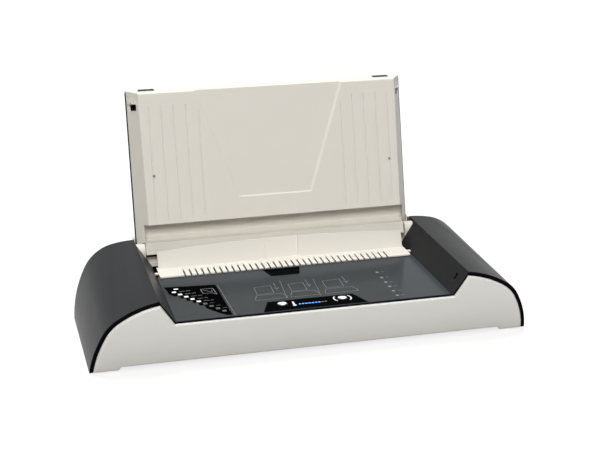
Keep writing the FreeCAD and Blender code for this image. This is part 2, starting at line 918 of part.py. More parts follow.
def make_control_strip():
    plate = prism_along_z(strip_outline(0), -strip_pocket_depth, strip_thickness - strip_pocket_depth)
    cuts = []
    for place in key_places():
        cuts.append(cylinder(key_radius + running_gap, place - Vector(0, 0, overrun),
                             place + Vector(0, 0, overrun)))
    cuts += lens_boxes(fit_gap, -overrun, overrun)
    return on_deck(plate.cut(cuts))


def make_finger_cup():
    cup = prism_along_z(cup_outline(0), -cup_depth, 0)
    hollow = prism_along_z(cup_outline(cup_wall), cup_floor - cup_depth, overrun)
    return on_deck(cup.cut(hollow))


def make_key(place):
    cap = cylinder(key_radius, place - Vector(0, 0, panel_thickness + running_gap),
                   place + Vector(0, 0, key_proud))
    rim_edges = [edge for edge in cap.Edges if edge.BoundBox.ZMin > key_proud / 2]
    cap = cap.makeFillet(key_proud / 2, rim_edges)
    flange_top = panel_thickness + running_gap / 2
    flange = cylinder(key_flange_radius, place - Vector(0, 0, flange_top + key_flange_thickness),
                      place - Vector(0, 0, flange_top))
    stem = cylinder(key_stem_radius, place - Vector(0, 0, key_stem_length),
                    place - Vector(0, 0, flange_top))
    return on_deck(fused([cap, flange, stem]))


def make_lenses():
    return on_deck(group(lens_boxes(0, -lens_depth, strip_thickness - strip_pocket_depth + lens_proud)))


# Control board

def make_control_board():
    board = box(-board_half, board_half, board_front_s, board_front_s + board_length,
                -board_drop - board_thickness, -board_drop)
    cuts = []
    for corner in board_corners():
        cuts.append(cylinder(board_screw_radius + pivot_clearance, corner - Vector(0, 0, 2 * board_drop),
                             corner))
    return on_deck(board.cut(cuts))


def make_board_screws():
    screws = []
    for corner in board_corners():
        under = corner - Vector(0, 0, board_drop + board_thickness)
        top = corner - Vector(0, 0, panel_thickness + 2 * board_boss_radius)
        shank = cylinder(board_screw_radius, under, top)
        head = cylinder(board_screw_head_radius, under - Vector(0, 0, board_screw_head), under)
        screws.append(fused([shank, head]))
    return on_deck(group(screws))


def make_key_switches():
    switches = []
    half = key_switch_size / 2
    for place in key_places():
        body = box(place.x - half, place.x + half, place.y - half, place.y + half,
                   -board_drop, key_switch_height - board_drop)
        top = place + Vector(0, 0, key_switch_height - board_drop)
        plunger = cylinder(key_switch_plunger_radius, top, top + Vector(0, 0, key_switch_plunger))
        switches.append(fused([body, plunger]))
    return on_deck(group(switches))


def make_lamp_strip():
    last_x = lens_first_x + (lens_count - 1) * lens_pitch
    return on_deck(box(lens_first_x - lens_length, last_x + lens_length, lens_s - lamp_strip_width / 2,
                       lens_s + lamp_strip_width / 2, -board_drop, lamp_strip_height - board_drop))


def make_buzzer():
    foot = Vector(buzzer_x, buzzer_s, -board_drop)
    body = cylinder(buzzer_radius, foot, foot + Vector(0, 0, buzzer_height))
    mouth = cylinder(buzzer_mouth_radius, foot + Vector(0, 0, buzzer_height / 2),
                     foot + Vector(0, 0, 2 * buzzer_height))
    return on_deck(body.cut(mouth))


def make_controller_chip():
    return on_deck(box(chip_x - chip_length / 2, chip_x + chip_length / 2, chip_s - chip_width / 2,
                       chip_s + chip_width / 2, -board_drop, chip_height - board_drop))


# Document guide

def guide_flange_top(y):
    return deck_z(y) + (guide_lift + guide_flange_thickness) / cos(radians(deck_slope))


def on_guide_wall(shape):
    """moves a shape drawn upright, with z up the wall, to the leaning wall"""
    placed = shape.copy()
    placed.rotate(Vector(0, 0, 0), Vector(1, 0, 0), -guide_wall_lean)
    placed.translate(Vector(0, guide_wall_y, guide_flange_top(guide_wall_y)))
    return placed


def crowned_prism(half, foot, drop, y0, y1):
    """upright plate whose top edge is a shallow arc, lower by drop"""
    left = Vector(-half, y0, guide_end_height - drop)
    right = Vector(half, y0, guide_end_height - drop)
    crown = Vector(0, y0, guide_crown_height - drop)
    low_left, low_right = Vector(-half, y0, foot), Vector(half, y0, foot)
    edges = [Part.Arc(left, crown, right).toShape(), Part.makeLine(right, low_right),
             Part.makeLine(low_right, low_left), Part.makeLine(low_left, left)]
    return Part.Face(Part.Wire(edges)).extrude(Vector(0, y1 - y0, 0))


def recess_outline(grow):
    foot, top = recess_foot_half + grow, recess_top_half + grow
    return [(-foot, -overrun / 2), (foot, -overrun / 2),
            (top, 2 * guide_crown_height), (-top, 2 * guide_crown_height)]


def make_document_guide():
    thin = guide_wall_thickness
    wall = crowned_prism(guide_wall_half, -thin, 0, 0, thin)
    pocket_block = crowned_prism(guide_wall_half, 0, 0, 0, recess_depth + thin)
    pocket_block = pocket_block.common(prism_along_y(recess_outline(thin), -overrun, overrun * 2))
    wall = wall.fuse(pocket_block)
    wall = wall.cut(prism_along_y(recess_outline(0), -overrun, recess_depth))
    above = box(-guide_wall_half, guide_wall_half, -overrun, 2 * overrun, 0, 2 * guide_crown_height)
    wall = on_guide_wall(wall.common(above))
    flange_low, flange_high = guide_lift, guide_lift + guide_flange_thickness
    rear_s = guide_rear_s()
    flange = box(-guide_flange_half, guide_flange_half, deck_s(guide_flange_y), rear_s,
                 flange_low, flange_high)
    uprights = [edge for edge in flange.Edges if abs(edge.Vertexes[0].Z - edge.Vertexes[1].Z) > guide_lift
                and edge.Vertexes[0].Y < rear_s - overrun]
    flange = flange.makeFillet(guide_flange_thickness, uprights)
    slots = []
    for index in range(comb_count):
        x = (index - (comb_count - 1) / 2) * comb_pitch
        slots.append(box(x - comb_slot / 2, x + comb_slot / 2, deck_s(guide_flange_y) - overrun,
                         deck_s(guide_flange_y) + comb_depth, 0, overrun))
    flange = flange.cut(slots)
    lower_y = guide_wall_y + recess_depth
    lower = box(-guide_lower_half, guide_lower_half, lower_y, lower_y + thin, guide_lower_z,
                guide_flange_top(lower_y) - guide_flange_thickness / 2)
    parts = [on_deck(flange), wall, lower]
    for side in (-1, 1):
        ear_x = sorted((side * guide_ear_inner, side * (guide_ear_inner + guide_ear_thickness)))
        parts.append(on_deck(box(ear_x[0], ear_x[1], rear_s - guide_ear_length, rear_s,
                                 -guide_ear_drop, flange_high)))
        tab_x = sorted((side * (guide_flange_half - guide_flange_thickness),
                        side * (guide_flange_half + guide_tab_reach)))
        tab_s = deck_s(guide_tab_y)
        parts.append(on_deck(box(tab_x[0], tab_x[1], tab_s, tab_s + guide_tab_length,
                                 flange_low, flange_high)))
    guide = fused(parts)
    return one_solid(guide.cut(guide_screw_rods(guide_screw_radius + pivot_clearance)))


def guide_rear_s():
    return deck_s(guide_wall_y) + guide_wall_thickness + recess_depth


def guide_screw_rods(radius):
    """a rod through each ear and cheek, along x"""
    rods = []
    s = guide_rear_s() - guide_screw_s
    for side in (-1, 1):
        start = Vector(side * (slot_half + running_gap), s, -guide_screw_drop)
        end = Vector(side * (guide_ear_inner + guide_ear_thickness), s, -guide_screw_drop)
        rods.append(on_deck(cylinder(radius, start, end)))
    return rods


def make_guide_screws():
    screws = guide_screw_rods(guide_screw_radius)
    s = guide_rear_s() - guide_screw_s
    shapes = []
    for side, shank in zip((-1, 1), screws):
        seat = side * (guide_ear_inner + guide_ear_thickness)
        head = cylinder(guide_screw_head_radius, Vector(seat, s, -guide_screw_drop),
                        Vector(seat + side * guide_screw_head, s, -guide_screw_drop))
        shapes.append(fused([shank, on_deck(head)]))
    return group(shapes)


# Heater under the slot

def element_top_z():
    return heater_top_z - heater_thickness


def pad_top_z():
    return element_top_z() - element_thickness


def carrier_top_z():
    return pad_top_z() - pad_thickness


def lever_slot():
    """narrow way through the heater for the sensor's finger"""
    return box(-lever_slot_half, lever_slot_half, lever_slot_front_y, lever_window_rear_y,
               pad_top_z() - overrun, heater_top_z + overrun)


def lever_window(half):
    """room below the heater plate for the sensor's arm"""
    return box(-half, half, lever_window_front_y, lever_window_rear_y,
               carrier_top_z() - overrun, element_top_z())


def make_heater_plate():
    plate = box(-heater_half, heater_half, heater_front_y, heater_rear_y, element_top_z(), heater_top_z)
    return plate.cut(lever_slot())


def make_heater_element():
    strip = box(element_inset - heater_half, heater_half - element_inset, heater_front_y + element_inset,
                heater_rear_y - element_inset, pad_top_z(), element_top_z())
    eye_room = box(-lever_window_half, lever_window_half, heater_front_y,
                   lever_pivot_y + lever_eye_room, pad_top_z(), element_top_z())
    return strip.cut([lever_slot(), eye_room])


def heater_windows():
    """openings for the thermostat, the thermal fuse and the temperature probe"""
    low, high = carrier_top_z() - 2 * overrun, pad_top_z()
    windows = [box(thermostat_x - thermostat_window, thermostat_x + thermostat_window,
                   thermostat_y - thermostat_window, thermostat_y + thermostat_window, low, high)]
    for x in (fuse_x, probe_x):
        windows.append(box(x - fuse_window_half, x + fuse_window_half,
                           thermostat_y - probe_radius - running_gap,
                           thermostat_y + probe_radius + running_gap, low, high))
    return windows


def make_insulation_pad():
    pad = box(-heater_half, heater_half, heater_front_y, heater_rear_y, carrier_top_z(), pad_top_z())
    return pad.cut(heater_windows() + [lever_window(pad_window_half)])


def make_heater_carrier():
    top, floor = carrier_top_z(), carrier_top_z() - carrier_wall
    plate = box(-carrier_half, carrier_half, carrier_front_y, carrier_rear_y, floor, top)
    front = box(-carrier_half, carrier_half, carrier_front_y, carrier_front_y + carrier_wall - running_gap,
                floor, pad_top_z())
    parts = [plate, front]
    base = tray_floor_z + tray_floor
    for x in (-carrier_half + carrier_leg_inset, -carrier_leg,
              carrier_half - carrier_leg_inset - carrier_leg):
        for y in (carrier_front_y, carrier_rear_y - carrier_leg):
            parts.append(box(x, x + carrier_leg, y, y + carrier_leg, base, floor))
    for side in (-1, 1):
        cheek_x = sorted((side * (slot_half + running_gap), side * carrier_half))
        parts.append(box(cheek_x[0], cheek_x[1], carrier_front_y, carrier_rear_y, floor, carrier_cheek_z))
    for side in (-1, 1):
        ear_x = sorted((side * lever_window_half, side * (lever_window_half + lever_ear_thickness)))
        parts.append(box(ear_x[0], ear_x[1], lever_pivot_y - lever_eye_radius,
                         lever_pivot_y + lever_eye_radius, floor, lever_pivot_z + lever_eye_radius / 2))
    carrier = fused(parts)
    cuts = heater_windows() + [lever_window(lever_window_half)]
    cuts += guide_screw_rods(guide_screw_radius)
    cuts.append(cylinder(lever_pin_radius, Vector(-2 * pad_window_half, lever_pivot_y, lever_pivot_z),
                         Vector(2 * pad_window_half, lever_pivot_y, lever_pivot_z)))
    return one_solid(carrier.cut(cuts))


def make_thermostat():
    top = Vector(thermostat_x, thermostat_y, pad_top_z())
    body = cylinder(thermostat_radius, top - Vector(0, 0, thermostat_height), top)
    blades = []
    for side in (-1, 1):
        x0 = thermostat_x + side * thermostat_radius / 2
        blades.append(box(x0 - fuse_radius, x0 + fuse_radius, thermostat_y - thermostat_blade / 2,
                          thermostat_y + thermostat_blade / 2, top.z - thermostat_height - fuse_radius * 2,
                          top.z - thermostat_height))
    return fused([body] + blades)


def make_thermal_fuse():
    z = pad_top_z() - fuse_radius
    start = Vector(fuse_x - fuse_length / 2, thermostat_y, z)
    return cylinder(fuse_radius, start, start + Vector(fuse_length, 0, 0))


def make_temperature_probe():
    z = pad_top_z() - probe_radius / 2
    start = Vector(probe_x - probe_length / 2, thermostat_y, z)
    return cylinder(probe_radius / 2, start, start + Vector(probe_length, 0, 0))


# Document sensor

def make_sensor_lever():
    y, z = lever_pivot_y, lever_pivot_z
    eye = cylinder(lever_eye_radius, Vector(-lever_half, y, z), Vector(lever_half, y, z))
    low = z - lever_arm_height / 2
    arm = box(-lever_half, lever_half, y, y + lever_arm, low, low + lever_arm_height)
    finger = box(-lever_half, lever_half, y + lever_arm - lever_finger, y + lever_arm, low, lever_tip_z)
    tip_edges = [edge for edge in finger.Edges if edge.BoundBox.ZMin > lever_tip_z - running_gap
                 and edge.BoundBox.XLength > lever_half]
    finger = finger.makeFillet(lever_heel_radius, tip_edges)
    lever = fused([eye, arm, finger])
    bore = cylinder(lever_pin_radius + pivot_clearance, Vector(-2 * lever_half, y, z),
                    Vector(2 * lever_half, y, z))
    return lever.cut(bore)


def make_lever_pin():
    reach = lever_window_half + lever_ear_thickness
    return cylinder(lever_pin_radius, Vector(-reach, lever_pivot_y, lever_pivot_z),
                    Vector(reach, lever_pivot_y, lever_pivot_z))


def make_sensor_switch():
    base = tray_floor_z + tray_floor
    y0 = lever_pivot_y + sensor_switch_back
    return box(-sensor_switch_half, sensor_switch_half, y0, y0 + sensor_switch_length, base,
               base + sensor_switch_height)


# Rear housing with its hinge lugs

def gutter_floor_z():
    return hinge_z - gutter_radius


def gutter_sheet():
    """quarter-round trough under and behind the hinge line"""
    left, right = Vector(-housing_half, hinge_y, hinge_z), Vector(housing_half, hinge_y, hinge_z)
    ring = cylinder(gutter_radius + housing_wall, left, right).cut(cylinder(gutter_radius, left, right))
    return ring.common(box(-housing_half, housing_half, hinge_y, hinge_y + 2 * gutter_radius,
                           hinge_z - 2 * gutter_radius, hinge_z))


def slot_rear_sheet():
    """leaning rear face of the document slot"""
    low = gutter_floor_z()
    lean = (slot_lip_y - slot_foot_y) / (low - slot_foot_z)
    step = housing_wall * sqrt(1 + lean ** 2)
    side = slot_half - running_gap
    return prism_along_x([(slot_lip_y, low), (slot_foot_y, slot_foot_z), (slot_foot_y + step, slot_foot_z),
                          (slot_lip_y + step, low)], -side, side)


def make_rear_housing():
    half, wall, low = housing_half, housing_wall, gutter_floor_z()
    strip_y = hinge_y + gutter_radius
    sheets = [gutter_sheet(), slot_rear_sheet(),
              box(-half, half, rear_y - wall, rear_y, low - wall, housing_top_z),
              box(-half, half, strip_y, rear_y, housing_top_z - wall, housing_top_z),
              box(-half, half, strip_y, strip_y + wall, hinge_z, housing_top_z),
              box(running_gap - slot_half, slot_half - running_gap, slot_lip_y, hinge_y, low - wall, low)]
    for side in (-1, 1):
        end_x = sorted((side * (half - housing_end), side * half))
        sheets.append(box(end_x[0], end_x[1], lug_foot_front_y, rear_y, low - wall, hinge_z))
        sheets.append(box(end_x[0], end_x[1], strip_y, rear_y, hinge_z, housing_top_z))
        lug_x = sorted((side * lug_inner, side * half))
        sheets.append(cylinder(lug_radius, Vector(lug_x[0], hinge_y, hinge_z),
                               Vector(lug_x[1], hinge_y, hinge_z)))
        sheets.append(box(lug_x[0], lug_x[1], lug_foot_front_y, lug_foot_rear_y, low - wall, hinge_z))
    body = fused(sheets)
    pins = []
    for side in (-1, 1):
        pins.append(cylinder(hinge_pin_radius, Vector(side * (lug_inner - overrun), hinge_y, hinge_z),
                             Vector(side * hinge_pin_outer, hinge_y, hinge_z)))
    return one_solid(body.cut(pins))


def make_hinge_pins():
    pins = []
    for side in (-1, 1):
        pins.append(cylinder(hinge_pin_radius, Vector(side * hinge_pin_inner, hinge_y, hinge_z),
                             Vector(side * hinge_pin_outer, hinge_y, hinge_z)))
    return group(pins)


# Lid

def face_out(up):
    """how far out the lid's inner face lies at a height over the hinge line"""
    share = (up - lid_face_foot_up) / (lid_tip_inner - lid_face_foot_up)
    return lid_face_foot + (lid_face_top - lid_face_foot) * share


def side_x(out):
    """half width of the lid at a depth, along its slanted sides"""
    slope = (lid_outer_half - lid_inner_half) / (lid_outer - lid_face_foot)
    return lid_inner_half + (out - lid_face_foot) * slope


def lid_wedge(inset, low_up):
    """the lid's block, pulled in from its sides, from low_up to past its tip"""
    near, far = 2 * lid_face_foot, lid_outer + overrun
    outline = [(-side_x(near) + inset, near), (side_x(near) - inset, near),
               (side_x(far) - inset, far), (inset - side_x(far), far)]
    return prism_along_z(outline, low_up, lid_tip_outer + overrun)


def tip_slope():
    return (lid_tip_outer - lid_tip_inner) / (lid_outer - lid_face_top)


def lid_below_tip(drop):
    """everything under the lid's slanted tip, lower by drop"""
    reach = lid_outer_half + overrun
    low = lid_tail - overrun
    near, far = 2 * lid_face_foot, lid_outer + overrun
    near_tip = lid_tip_outer + (near - lid_outer) * tip_slope() - drop
    far_tip = lid_tip_outer + (far - lid_outer) * tip_slope() - drop
    return prism_along_x([(near, low), (far, low), (far, far_tip), (near, near_tip)], -reach, reach)


def between_face_and(out, push, low_up):
    """from the inner face, pushed outward by push, to a plane at out"""
    reach = lid_outer_half + overrun
    high = lid_tip_outer + overrun
    return prism_along_x([(face_out(low_up) + push, low_up), (out, low_up), (out, high),
                          (face_out(high) + push, high)], -reach, reach)


def lid_boss_places():
    places = []
    for x in (-lid_boss_side_x, 0, lid_boss_side_x):
        for up in (lid_boss_low_up, lid_boss_high_up):
            places.append((x, up))
    return places


def snap_tabs(gap, low, high):
    boxes = []
    for side in (-1, 1):
        x = side * tab_centre_x
        boxes.append(box(x - tab_half_length - gap, x + tab_half_length + gap,
                         tab_front_out - gap, lid_outer + gap, low, high))
    return boxes


def make_lid_outer_skin():
    """flat back plate, with two hooks that reach over the panel's rim at the tip"""
    inner = lid_outer - lid_skin
    reach = lid_outer_half + overrun
    high = lid_tip_outer + overrun
    plate = box(-reach, reach, inner, lid_outer, lid_tail, high)
    back = lid_wedge(0, lid_tail).common(plate).common(lid_below_tip(lid_rim + lid_fit_gap))
    tabs = []
    for tab in snap_tabs(0, lid_tip_inner - tab_height, high):
        under_hook = box(-reach, reach, 0, inner, 0, high).common(lid_below_tip(tab_leg))
        tabs.append(tab.common(lid_below_tip(-tab_proud)).cut(under_hook))
    shape = fused([back] + tabs)
    cuts = []
    for x, up in lid_boss_places():
        cuts.append(cylinder(lid_screw_radius + pivot_clearance, Vector(x, inner - overrun, up),
                             Vector(x, lid_outer + overrun, up)))
        cuts.append(cylinder(lid_screw_head_radius + running_gap, Vector(x, lid_outer - lid_screw_head, up),
                             Vector(x, lid_outer + overrun, up)))
    return on_lid(one_solid(shape.cut(cuts)))


def box_in_side_wall(grow, side):
    """the catch's outline on the lid's side, from inside the lid to outside its wall"""
    inner, outer = side_x(catch_out) - lid_side_wall - overrun, side_x(catch_out) + overrun
    x0, x1 = sorted((side * inner, side * outer))
    return box(x0, x1, catch_out - catch_height / 2 - grow, catch_out + catch_height / 2 + grow,
               catch_up - catch_length / 2 - grow, catch_up + catch_length / 2 + grow)


def make_lid_catches():
    """lugs with a flat face towards the tip and a slope below, through the lid's side walls"""
    shapes = []
    for side in (-1, 1):
        x_in = side_x(catch_out) - 2 * lid_side_wall
        x_out = side_x(catch_out) + catch_proud
        top, low = catch_up + catch_length / 2, catch_up - catch_length / 2
        outline = [(side * x_in, low), (side * x_in, top), (side * x_out, top),
                   (side * x_out, catch_up), (side * (x_out - catch_proud), low)]
        nose = prism_along_y(outline, catch_out - catch_height / 2, catch_out + catch_height / 2)
        front, rear = catch_base_out - catch_base_height / 2, catch_base_out + catch_base_height / 2
        at_front, at_rear = side_x(front), side_x(rear)
        strip = prism_along_z([(side * at_front, front), (side * (at_front + catch_base_proud), front),
                               (side * (at_rear + catch_base_proud), rear), (side * at_rear, rear)], low, top)
        shapes.append(fused([nose, strip]))
    return on_lid(group(shapes))


def catch_window(side):
    """opening in the lid's side wall below the catch"""
    x0, x1 = sorted((side * (side_x(lid_face_top) - 2 * lid_side_wall), side * lid_outer_half))
    high = catch_up - catch_length / 2 - catch_window_gap
    return box(x0, x1, catch_base_out - catch_window_height / 2, catch_base_out + catch_window_height / 2,
               high - catch_window_length, high)


def groove_tools():
    tools = []
    for index in range(groove_count):
        x = groove_outer_x - index * groove_pitch
        top = min(groove_top_up, shield_edge_up(x))
        strip = between_face_and(lid_outer, -overrun, 0).cut(between_face_and(2 * lid_outer, groove_depth, 0))
        tools.append(box(x - groove_width / 2, x + groove_width / 2, 2 * lid_face_foot, lid_outer,
                         groove_foot_up, top).common(strip))
    return tools


def shield_tool():
    """the shield's shallow recess, whose edges slope down to its floor"""
    wires = []
    for depth in (shield_depth, -shield_depth):
        grow = (shield_depth - depth) * shield_edge_run / shield_depth
        foot, top = shield_foot_half + grow, shield_top_half + grow
        low, high = shield_foot_up - grow / 2, shield_top_up
        low_out, high_out = face_out(low) + depth, face_out(high) + depth
        corners = [Vector(-foot, low_out, low), Vector(foot, low_out, low),
                   Vector(top, high_out, high), Vector(-top, high_out, high)]
        wires.append(Part.makePolygon(corners + corners[:1]))
    return Part.makeLoft(wires, True, True)


def shield_edge_up(x):
    """height at which the shield's slanted edge is x from the middle, less a margin"""
    share = (x - shield_foot_half) / (shield_top_half - shield_foot_half)
    return shield_foot_up + share * (shield_top_up - shield_foot_up) - groove_shield_margin


def lid_block():
    """the inner panel's outer form above the scoop, with its edges rounded along the face"""
    rear = lid_outer - lid_skin - lid_fit_gap
    block = lid_wedge(0, lid_face_foot_up).common(between_face_and(rear, 0, lid_face_foot_up))
    block = block.common(lid_below_tip(0))
    corners = []
    for edge in block.Edges:
        bounds = edge.BoundBox
        along_tip = bounds.ZMin > lid_tip_inner - running_gap
        along_side = bounds.ZLength > lid_face_foot_up
        if bounds.YMax < rear / 2 and (along_tip or along_side):
            corners.append(edge)
    return block.makeFillet(lid_edge_round, corners)


def make_lid_inner_panel():
    """face and flared side walls in one moulding, with the rim at the tip and the scoop at the foot"""
    rear = lid_outer - lid_skin - lid_fit_gap
    room = lid_wedge(lid_side_wall, lid_face_foot_up + lid_face_wall).common(
        between_face_and(lid_outer, lid_face_wall, 0)).common(lid_below_tip(2 * lid_rim))
    rim = lid_wedge(0, lid_tip_inner - lid_rim).common(between_face_and(lid_outer - lid_rim_back, rear, 0))
    rim = rim.common(lid_below_tip(0)).cut(lid_below_tip(lid_rim))
    parts = [lid_block().cut(room), rim] + scoop_parts()
    for x, up in lid_boss_places():
        post = cylinder(lid_boss_radius, Vector(x, face_out(up) + lid_face_wall / 2, up), Vector(x, rear, up))
        parts.append(post)
    panel = fused(parts)
    grooves = groove_tools()
    cuts = [shield_tool()] + grooves + [mirrored(groove) for groove in grooves]
    cuts += snap_tabs(lid_fit_gap, lid_tip_inner - overrun, lid_tip_outer + overrun)
    cuts += [box_in_side_wall(catch_window_gap, side) for side in (-1, 1)]
    cuts += [catch_window(side) for side in (-1, 1)]
    for side in (-1, 1):
        cuts.append(cylinder(buffer_radius, Vector(side * buffer_x, 2 * lid_face_foot, buffer_up),
                             Vector(side * buffer_x, face_out(buffer_up) + lid_face_wall / 2, buffer_up)))
        cuts.append(cylinder(hinge_pin_radius + pivot_clearance,
                             Vector(side * (hinge_pin_inner - pivot_clearance), 0, 0),
                             Vector(side * hinge_pin_outer, 0, 0)))
    for x, up in lid_boss_places():
        cuts.append(cylinder(lid_screw_radius + pivot_clearance,
                             Vector(x, lid_outer - lid_screw_length - overrun, up), Vector(x, lid_outer, up)))
    return on_lid(panel.cut(cuts))


def scoop_parts():
    """cheeks beside the scoop, its hollowed floor, and the bar that turns on the hinge pins"""
    rear = lid_outer - lid_skin - lid_fit_gap
    high = lid_face_foot_up + lid_face_wall
    floor = [(bar_front, bar_top), (bar_front + ledge_depth, bar_top), (scoop_bend_out, scoop_bend_up),
             (rear, scoop_back_up)]
    cheek = prism_along_z([(scoop_side_half - lid_side_wall, lid_face_foot),
                           (side_x(lid_face_foot) + lid_side_wall, lid_face_foot),
                           (side_x(rear), rear), (side_x(rear) - lid_side_wall, rear),
                           (scoop_deep_half - lid_side_wall, rear / 2)], 0, high)
    web = prism_along_x([(bar_front, 0)] + floor + [(rear, 0)], bar_half - bar_wall, lid_outer_half + overrun)
    front_cut = prism_along_x([(2 * lid_face_foot, -overrun), (bar_front, -overrun), (bar_front, bar_top),
                               (lid_face_foot, lid_face_foot_up), (2 * lid_face_foot, lid_face_foot_up)],
                              0, half_width)
    lug_sweep = cylinder(lug_radius + lug_sweep_gap, Vector(bar_half, 0, 0), Vector(half_width, 0, 0))
    cheek = lid_wedge(0, 0).common(cheek.fuse(web)).cut([lug_sweep, front_cut])
    bar = prism_along_x([(bar_front, bar_foot)] + floor + [(rear, bar_foot)], -bar_half, bar_half)
    hollow = prism_along_x([(bar_front + bar_wall, bar_foot + bar_wall),
                            (bar_front + bar_wall, bar_top - bar_wall),
                            (scoop_bend_out, scoop_bend_up - bar_wall), (lid_outer, scoop_back_up - bar_wall),
                            (lid_outer, bar_foot + bar_wall)], bar_end - bar_half, bar_half - bar_end)
    lining = lid_wedge(lid_side_wall / 2, 0).common(
        box(-lid_outer_half, lid_outer_half, rear - scoop_lining, rear, scoop_back_up - bar_wall, high))
    return [cheek, mirrored(cheek), bar.cut(hollow), lining]


def make_lid_buffers():
    studs = []
    for side in (-1, 1):
        seat = face_out(buffer_up) + lid_face_wall / 2
        tip = face_out(buffer_up) - buffer_proud
        studs.append(cylinder(buffer_radius, Vector(side * buffer_x, tip, buffer_up),
                              Vector(side * buffer_x, seat, buffer_up)))
    return on_lid(group(studs))


def make_lid_screws():
    screws = []
    for x, up in lid_boss_places():
        seat = lid_outer - lid_screw_head
        shank = cylinder(lid_screw_radius, Vector(x, lid_outer - lid_screw_length, up), Vector(x, seat, up))
        head = cylinder(lid_screw_head_radius, Vector(x, seat, up), Vector(x, lid_outer, up))
        screws.append(fused([shank, head]))
    return on_lid(group(screws))


# Base tray, feet, case screws

def case_screw_places():
    return [(side * shell_boss_x, y) for side in (-1, 1) for y in (shell_boss_front_y, shell_boss_rear_y)]


def make_base_tray():
    floor_top = tray_floor_z + tray_floor
    body = box(-tray_half, tray_half, tray_front_y, tray_rear_y, tray_floor_z, tray_rim_z)
    hollow = box(tray_rim - tray_half, tray_half - tray_rim, tray_front_y + tray_rim, tray_rear_y - tray_rim,
                 floor_top, tray_rim_z + overrun)
    cuts = [hollow]
    for x, y in case_screw_places():
        cuts.append(cylinder(screw_radius + pivot_clearance, Vector(x, y, 0), Vector(x, y, tray_rim_z)))
    for index in range(vent_count):
        x = vent_first_x + index * vent_pitch
        cuts.append(box(x - vent_width / 2, x + vent_width / 2, vent_y - vent_length / 2,
                        vent_y + vent_length / 2, 0, tray_rim_z))
    tray = body.cut(cuts)
    posts = []
    for x, y in power_posts():
        posts.append(cylinder(power_post_radius, Vector(x, y, floor_top - tray_floor / 2),
                              Vector(x, y, power_board_z)))
    return fused([tray] + posts)


def make_rubber_feet():
    feet = []
    for side in (-1, 1):
        for y in (foot_front_y, foot_rear_y):
            foot = cylinder(foot_radius, Vector(side * foot_x, y, 0), Vector(side * foot_x, y, tray_floor_z))
            rim = [edge for edge in foot.Edges if edge.BoundBox.ZMax < tray_floor_z / 2
                   and len(edge.Vertexes) == 1]
            feet.append(foot.makeFillet(case_lift / 2, rim))
    return group(feet)


def make_case_screws():
    screws = []
    for x, y in case_screw_places():
        seat = Vector(x, y, tray_floor_z)
        tip_z = tray_floor_z + tray_floor + screw_reach - screw_head
        shank = cylinder(screw_radius, seat, Vector(x, y, tip_z))
        head = cylinder(screw_head_radius, seat - Vector(0, 0, screw_head), seat)
        screws.append(fused([shank, head]))
    return group(screws)


# Rear cover

def rear_arch_outline(inset, wall_inset, y0):
    """right half of the rear outline, pulled in"""
    corner, arcs, _ = half_arch(ridge_rear_height, deck_z(shell_rear_y), rear_fall_angle, rear_arch_shares,
                                inset, wall_inset)
    edges = [arc_edge(arc, y0) for arc in arcs]
    base = arcs[-1][-1]
    edges += line_edges([base, (base[0], -overrun), (0, -overrun), (0, corner[1]), corner], y0)
    return Part.Face(Part.Wire(edges))


def rear_block(inset, grow, y0, y1):
    """both arches' rear block, pulled in, with the rear housing's bay grown and taken out of its top"""
    face = rear_arch_outline(inset, -rear_inset, y0)
    block = fused(both_sides(face.extrude(Vector(0, y1 - y0, 0))))
    side = housing_half + rear_gap + grow
    bay = box(-side, side, y0 - overrun, y1 + overrun, gutter_floor_z() - housing_wall - rear_gap - grow,
              ridge_rear_height + overrun)
    under = box(-half_width, half_width, y0 - overrun, y1 + overrun, -2 * overrun, case_lift + grow)
    return block.cut([bay, under])


def rear_plug():
    """collar that reaches into the shells from behind"""
    y0 = shell_rear_y - rear_plug_length
    side = ridge_half + rear_plug_inset
    face = rear_arch_outline(rear_plug_inset, rear_plug_inset, y0)
    collar = face.extrude(Vector(0, rear_plug_length + rear_gap + rear_wall / 2, 0))
    collar = collar.common(box(side, half_width, y0, rear_y, tray_rim_z + rear_gap, ridge_rear_height))
    return both_sides(collar)


def make_rear_cover():
    y0 = shell_rear_y + rear_gap
    hollow_y = shell_rear_y - 2 * rear_plug_length
    outer = fused([rear_block(rear_inset, 0, y0, rear_y)] + rear_plug())
    cover = outer.cut(rear_block(rear_inset + rear_wall, rear_wall, hollow_y, rear_y - rear_wall))
    low_y, high_y = rear_y - overrun, rear_y + overrun
    cuts = [box(inlet_x - inlet_half_width, inlet_x + inlet_half_width, low_y, high_y,
                inlet_z - inlet_half_height, inlet_z + inlet_half_height),
            box(switch_x - switch_half_width, switch_x + switch_half_width, low_y, high_y,
                switch_z - switch_half_height, switch_z + switch_half_height)]
    for index in range(rear_vent_count):
        x = rear_vent_centre_x + (index - (rear_vent_count - 1) / 2) * rear_vent_pitch
        cuts.append(box(x - rear_vent_width / 2, x + rear_vent_width / 2, low_y, high_y,
                        rear_vent_z - rear_vent_height / 2, rear_vent_z + rear_vent_height / 2))
    return one_solid(cover.cut(cuts))


def make_mains_inlet():
    gap = fit_gap
    face_y = rear_y + inlet_bezel_thickness
    left, right = inlet_x - inlet_half_width, inlet_x + inlet_half_width
    low, high = inlet_z - inlet_half_height, inlet_z + inlet_half_height
    rim = inlet_bezel
    bezel = box(left - rim, right + rim, rear_y, face_y, low - rim, high + rim)
    body = box(left + gap, right - gap, rear_y - inlet_depth, rear_y, low + gap, high - gap)
    wall = inlet_cup_wall
    cup = box(left + wall, right - wall, face_y - inlet_cup_depth, face_y + overrun, low + wall, high - wall)
    return fused([bezel, body]).cut(cup)


